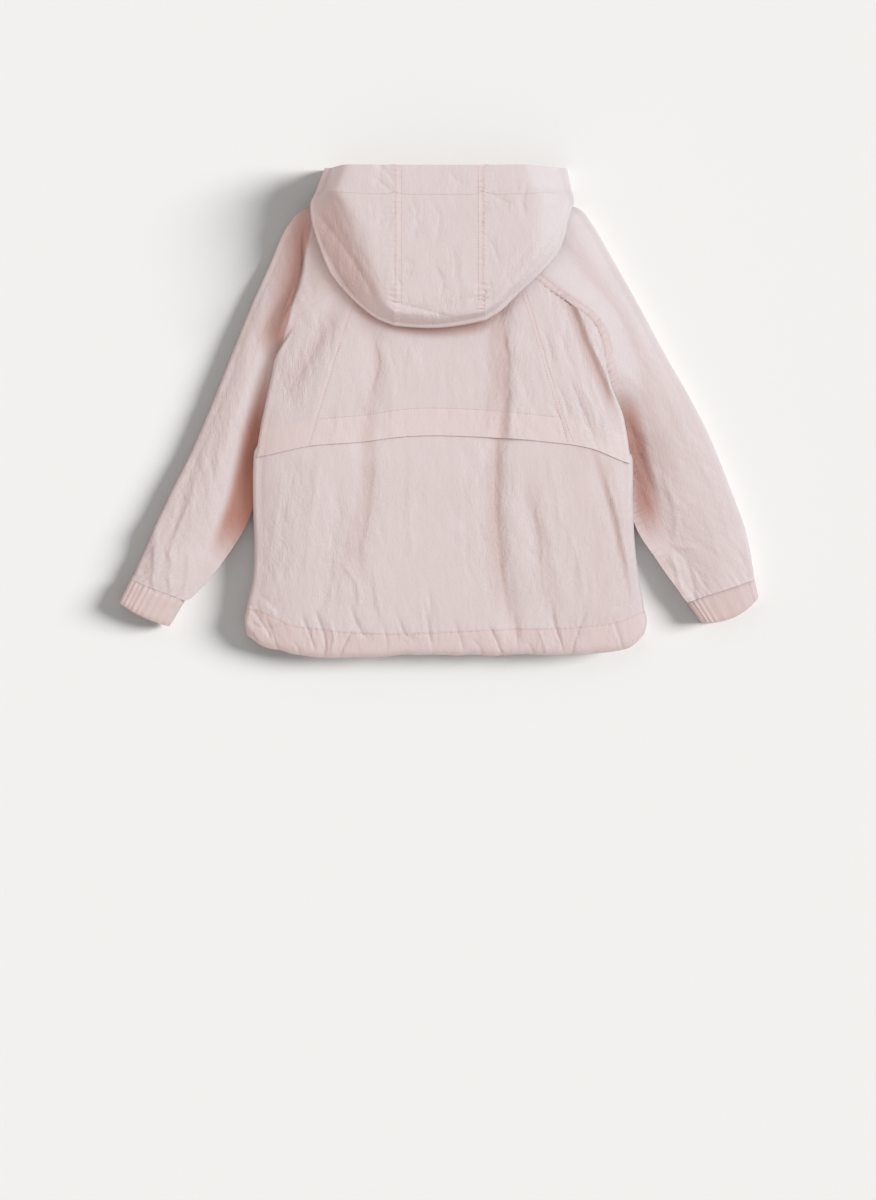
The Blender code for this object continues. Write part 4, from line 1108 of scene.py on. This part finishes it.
def nylon_material():
    """Pale pink crinkled nylon: a fine weave and long fine wrinkles as bump, stronger where the cloth is
    creased, and painted shade, a warmer, deeper pink where one layer shades the next and on shaded slopes."""
    material, tree, shader = new_material("pale_pink_nylon", 0.58)
    link = tree.links.new
    shader.inputs["Sheen Weight"].default_value = 0.1
    shader.inputs["Sheen Roughness"].default_value = 0.4
    cut = node_after(tree, "ShaderNodeUVMap", uv_map="cut")
    creased = node_after(tree, "ShaderNodeAttribute", attribute_name="creased")
    hollow = node_after(tree, "ShaderNodeAttribute", attribute_name="hollow")
    doubled = node_after(tree, "ShaderNodeAttribute", attribute_name="doubled")
    stretch = node_after(tree, "ShaderNodeMapping", Scale=(280.0, 115.0, 1.0))
    link(cut.outputs["UV"], stretch.inputs["Vector"])
    wrinkle = node_after(tree, "ShaderNodeTexNoise", Scale=1.0, Detail=5.0, Roughness=0.62, Distortion=0.9)
    link(stretch.outputs["Vector"], wrinkle.inputs["Vector"])
    strength = node_after(tree, "ShaderNodeMapRange")
    strength.inputs["To Min"].default_value = 0.35
    strength.inputs["To Max"].default_value = 1.0
    link(creased.outputs["Fac"], strength.inputs["Value"])
    bump = node_after(tree, "ShaderNodeBump", Distance=0.0013)
    link(strength.outputs["Result"], bump.inputs["Strength"])
    link(wrinkle.outputs["Fac"], bump.inputs["Height"])
    threads = node_after(tree, "ShaderNodeTexWave", Scale=1.0, Distortion=0.2)
    fine = node_after(tree, "ShaderNodeMapping", Scale=(600.0, 600.0, 1.0), Rotation=(0.0, 0.0, 0.785))
    link(cut.outputs["UV"], fine.inputs["Vector"])
    link(fine.outputs["Vector"], threads.inputs["Vector"])
    weave = node_after(tree, "ShaderNodeBump", Strength=0.12, Distance=0.00008)
    link(threads.outputs["Fac"], weave.inputs["Height"])
    link(bump.outputs["Normal"], weave.inputs["Normal"])
    link(weave.outputs["Normal"], shader.inputs["Normal"])
    cloud = node_after(tree, "ShaderNodeTexNoise", Scale=28.0, Detail=2.0)
    link(cut.outputs["UV"], cloud.inputs["Vector"])
    tone = blend_colours(tree, cloud.outputs["Fac"], PINK_LIGHT, PINK_DEEP)
    tone = blend_colours(tree, doubled.outputs["Fac"], tone, PINK_DOUBLE)
    # Painted shade mixed into the base colour.
    tone = blend_colours(tree, hollow.outputs["Fac"], tone, PINK_PAINTED_SHADE)
    link(tone, shader.inputs["Base Color"])
    return material


def thread_material():
    """Pale pink thread with a fine twist."""
    material, tree, shader = new_material("pale_pink_thread", 0.5)
    place = node_after(tree, "ShaderNodeTexCoord")
    twist = node_after(tree, "ShaderNodeTexNoise", Scale=900.0, Detail=1.0)
    tree.links.new(place.outputs["Object"], twist.inputs["Vector"])
    tone = blend_colours(tree, twist.outputs["Fac"], THREAD_DARK, THREAD_PALE)
    tree.links.new(tone, shader.inputs["Base Color"])
    return material


def tape_material():
    """Woven tape: fine bands across its length as bump and a slight change of tone."""
    material, tree, shader = new_material("zip_tape", 0.7)
    cut = node_after(tree, "ShaderNodeUVMap", uv_map="cut")
    bands = node_after(tree, "ShaderNodeTexWave", bands_direction="Y", Scale=200.0, Distortion=0.3)
    tree.links.new(cut.outputs["UV"], bands.inputs["Vector"])
    weave = node_after(tree, "ShaderNodeBump", Strength=0.4, Distance=0.0001)
    tree.links.new(bands.outputs["Fac"], weave.inputs["Height"])
    tree.links.new(weave.outputs["Normal"], shader.inputs["Normal"])
    tone = blend_colours(tree, bands.outputs["Fac"], TAPE_DARK, TAPE_PALE)
    tree.links.new(tone, shader.inputs["Base Color"])
    return material


def moulded_material():
    """Smooth pink moulded plastic."""
    material, _, shader = new_material("moulded_teeth", 0.35)
    shader.inputs["Base Color"].default_value = TEETH_PINK
    return material


def zip_grid():
    """Flat rows of tape from the hood's mouth to the hem's edge, inside the fronts."""
    across = CENTRE + np.linspace(-ZIP_TAPE, ZIP_TAPE, 8)
    y, x = np.meshgrid(np.linspace(*ZIP_ENDS, 110), across, indexing="ij")
    return np.dstack([x, y, np.full(x.shape, TAPE_FACE)])


def make_teeth(material, tape):
    """Teeth on the tape's outer face, a block at every pitch, by turns a little left and right of the middle,
    joined in one mesh, and a slider at the top."""
    y = np.arange(ZIP_ENDS[1] + TEETH_MARGIN, ZIP_ENDS[0] - TEETH_MARGIN, TOOTH_PITCH)
    x = CENTRE + TOOTH_SHIFT * (-1.0) ** np.arange(len(y))
    middle = np.column_stack([x, y, np.full(len(y), TAPE_FACE - TOOTH_HALF[2])])
    points = (middle[:, None] + BOX_CORNERS * np.array(TOOTH_HALF)).reshape(-1, 3)
    faces = (np.arange(len(y))[:, None, None] * len(BOX_CORNERS) + BOX_FACES).reshape(-1, 4)
    slider = np.array(SLIDER) + (CENTRE, 0, 0)
    for name, corners, sides in (("zip_teeth", points, faces), ("zip_slider", slider, BOX_FACES)):
        made = mesh_object(name, corners, sides, material)
        made.data.polygons.foreach_set("use_smooth", np.zeros(len(sides), bool))
        round_off = made.modifiers.new("edges", "BEVEL")
        round_off.width = TOOTH_BEVEL * MM
        round_off.segments = 2
        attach(made, "root")
        tape["with"].append(made)


nylon = nylon_material()
thread = thread_material()
cloths = {}


def panel(node, grid, creases=(), **more):
    """Makes one panel of nylon and keeps it by its node's name."""
    cloths[node] = make_cloth(node, grid, nylon, creases, **more)


# tone: painted shade spread evenly over a whole panel.
panel("yoke_centre", yoke_centre_grid(), CREASES["yoke"], seed=3, grooves=[("bottom", YOKE_HEM)],
      rests_on=["back_panel"], hollows=PAINTED_SHADES["yoke"], doubled=[("bottom", YOKE_HEM)])
for side in SIDES:
    panel("yoke_" + side, yoke_side_grid(side), CREASES["yoke"], seed=3, flip=side == "left",
          grooves=[("left", SLANT_ROWS[0]), ("bottom", YOKE_HEM)], rests_on=["sleeve_" + side],
          hollows=PAINTED_SHADES["yoke"], doubled=[("bottom", YOKE_HEM), ("left", SLANT_ROWS[1])])
panel("back_panel", back_grid(FINE), CREASES["back"] + CREASES["hem"], seed=3,
      puckers=[("bottom", 0.35, 8, 7)], rests_on=["front_left", "front_right"], hollows=PAINTED_SHADES["back"])
panel("hem_back", hem_back_grid(), CREASES["back"] + CREASES["hem"], seed=3, wall=CASING, held="gathered",
      puckers=[("top", 0.35, 7, 5)], grooves=[("top", HEM_ROW)], doubled=[("top", ALL_OVER)], tone=0.1,
      rests_on=["hem_front_left", "hem_front_right"])
hood_grids = {side: hood_side_grid(side) for side in SIDES}
for side in SIDES:
    panel("hood_" + side, hood_grids[side], CREASES["hood"], seed=8, flip=side == "left", held="folded",
          puckers=[("left", 1.1, 6, 7)], rests_on=["yoke_centre", "sleeve_" + side], hollows=PAINTED_SHADES["hood"])
panel("hood_centre", hood_centre_grid(hood_grids["left"], hood_grids["right"]), CREASES["hood"], seed=8,
      puckers=[("left", 1.1, 6, 8), ("right", 1.1, 5.6, 8)], held="folded", rests_on=["yoke_centre"],
      grooves=[("left", HOOD_ROWS["left"][1]), ("top", HOOD_HEM)],
      doubled=[(edge, HOOD_ROWS[edge][1]) for edge in SIDES])
gathers = [("bottom", 0.8, 9, 16)]
panel("sleeve_left", sleeve_grid("left"), CREASES["sleeve_left"], seed=14, flip=True, lean=LEAN["left"],
      puckers=gathers, hollows=PAINTED_SHADES["sleeve_left"], tone=0.06, beneath=CREASES["sleeve_under"])
panel("sleeve_right", sleeve_grid("right"), CREASES["sleeve_right"], seed=14, lean=LEAN["right"],
      puckers=gathers + [("left", 1.9, 7.0, 8)], grooves=[("left", RAGLAN_ROWS[1])],
      doubled=[("left", RAGLAN_ROWS[1])], hollows=PAINTED_SHADES["sleeve_right"], tone=0.05,
      beneath=CREASES["sleeve_under"])
for side in SIDES:
    panel("cuff_" + side, cuff_grid(side), seed=15, flip=side == "left", wall=CASING, lean=LEAN[side],
          held="gathered", grooves=[("top", CUFF_ROW)], doubled=[("top", ALL_OVER)], tone=0.2)
    panel("front_" + side, front_grid(side), seed=21, flip=side == "right", beneath=CREASES["front"])
    panel("hem_front_" + side, hem_front_grid(side), seed=22, flip=side == "right", wall=CASING,
          held="gathered")
cloths["front_zip"] = make_cloth("front_zip", zip_grid(), tape_material(), seed=23, flip=True, wall=TAPE,
                                 slot="zip")
make_teeth(moulded_material(), cloths["front_zip"])

make_stitches("hood_stitching", thread, "hood_centre", [
    *(line_beside("hood_centre", edge, apart, 0, 0.6) for edge in SIDES for apart in HOOD_ROWS[edge]),
    line_beside("hood_centre", "top", HOOD_HEM),
    line_beside("hood_left", "top", HOOD_HEM, 0, 0.55),
    line_beside("hood_right", "top", HOOD_HEM, 0, 0.55),
])
make_stitches("yoke_stitching", thread, "yoke_centre", [
    *(line_beside("yoke_right", "left", apart) for apart in SLANT_ROWS),
    line_beside("yoke_left", "left", SLANT_ROWS[0]),
    line_beside("yoke_centre", "bottom", YOKE_HEM),
])
make_stitches("raglan_stitching", thread, "sleeve_right",
              [line_beside("sleeve_right", "left", apart, 0.02, 0.45) for apart in RAGLAN_ROWS])
make_stitches("hem_stitching", thread, "hem_back", [line_beside("hem_back", "top", HEM_ROW)])
make_stitches("cuff_stitching", thread, "cuff_left",
              [line_beside("cuff_" + side, "top", CUFF_ROW, 0, 0.64) for side in SIDES])


def lay_floor():
    """A pale sheet of paper under the jacket, larger than any view of it."""
    half, drop = 6000.0, -0.6
    corners = np.array([[-half, -half, drop], [half, -half, drop], [half, half, drop], [-half, half, drop]])
    paper, _, shader = new_material("pale_paper", 0.9)
    shader.inputs["Base Color"].default_value = PAPER
    mesh_object("floor", corners, np.array([[0, 1, 2, 3]]), paper)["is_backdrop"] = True


def soft_sun(name, rise, bearing, spread, energy, colour, lights_up):
    """A wide soft lamp at a rise above the surface and a bearing from the right towards the hood, in degrees;
    it lights one collection of objects, and every object casts its shadow."""
    lamp = bpy.data.lights.new(name, "SUN")
    lamp.energy = energy
    lamp.color = colour
    lamp.angle = math.radians(spread)
    lit = bpy.data.objects.new(name, lamp)
    bpy.context.scene.collection.objects.link(lit)
    rise, bearing = math.radians(rise), math.radians(bearing)
    away, high = 2 * math.cos(rise), 2 * math.sin(rise)
    lit.location = (away * math.cos(bearing), away * math.sin(bearing), high)
    lit.rotation_euler = (0.0, math.pi / 2 - rise, bearing)
    lit.light_linking.receiver_collection = lights_up


def light_scene():
    """A soft lamp from the right and a warm glow from above on the jacket, and a lower lamp and a plain glow
    on the paper."""
    world = bpy.data.worlds.new("studio")
    bpy.context.scene.world = world
    world.use_nodes = True
    background = world.node_tree.nodes["Background"]
    background.inputs["Color"].default_value = (1.0, 0.985, 0.97, 1.0)
    background.inputs["Strength"].default_value = 0.12
    jacket = bpy.data.collections.new("jacket")
    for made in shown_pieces():
        jacket.objects.link(made)
    paper = bpy.data.collections.new("paper")
    paper.objects.link(bpy.data.objects["floor"])
    soft_sun("key_on_jacket", 38, 23, 34, 1.55, (0.86, 1.08, 1.16), jacket)
    soft_sun("glow_on_jacket", 90, 0, 150, 2.05, (1.0, 0.84, 0.77), jacket)
    soft_sun("key_on_paper", 24, 9, 22, 4.97, WHITE, paper)
    soft_sun("glow_on_paper", 90, 0, 150, 0.75, WHITE, paper)


def place_camera():
    """A camera straight above, with a long lens, framing 1.32 m from top to bottom."""
    camera = bpy.data.cameras.new("camera")
    camera.lens = 109.1
    seen = bpy.data.objects.new("camera", camera)
    seen.location = (-0.00095, -0.20715, 4.0)
    bpy.context.scene.collection.objects.link(seen)
    bpy.context.scene.camera = seen


lay_floor()
light_scene()
place_camera()
bpy.context.scene.view_settings.view_transform = "Standard"
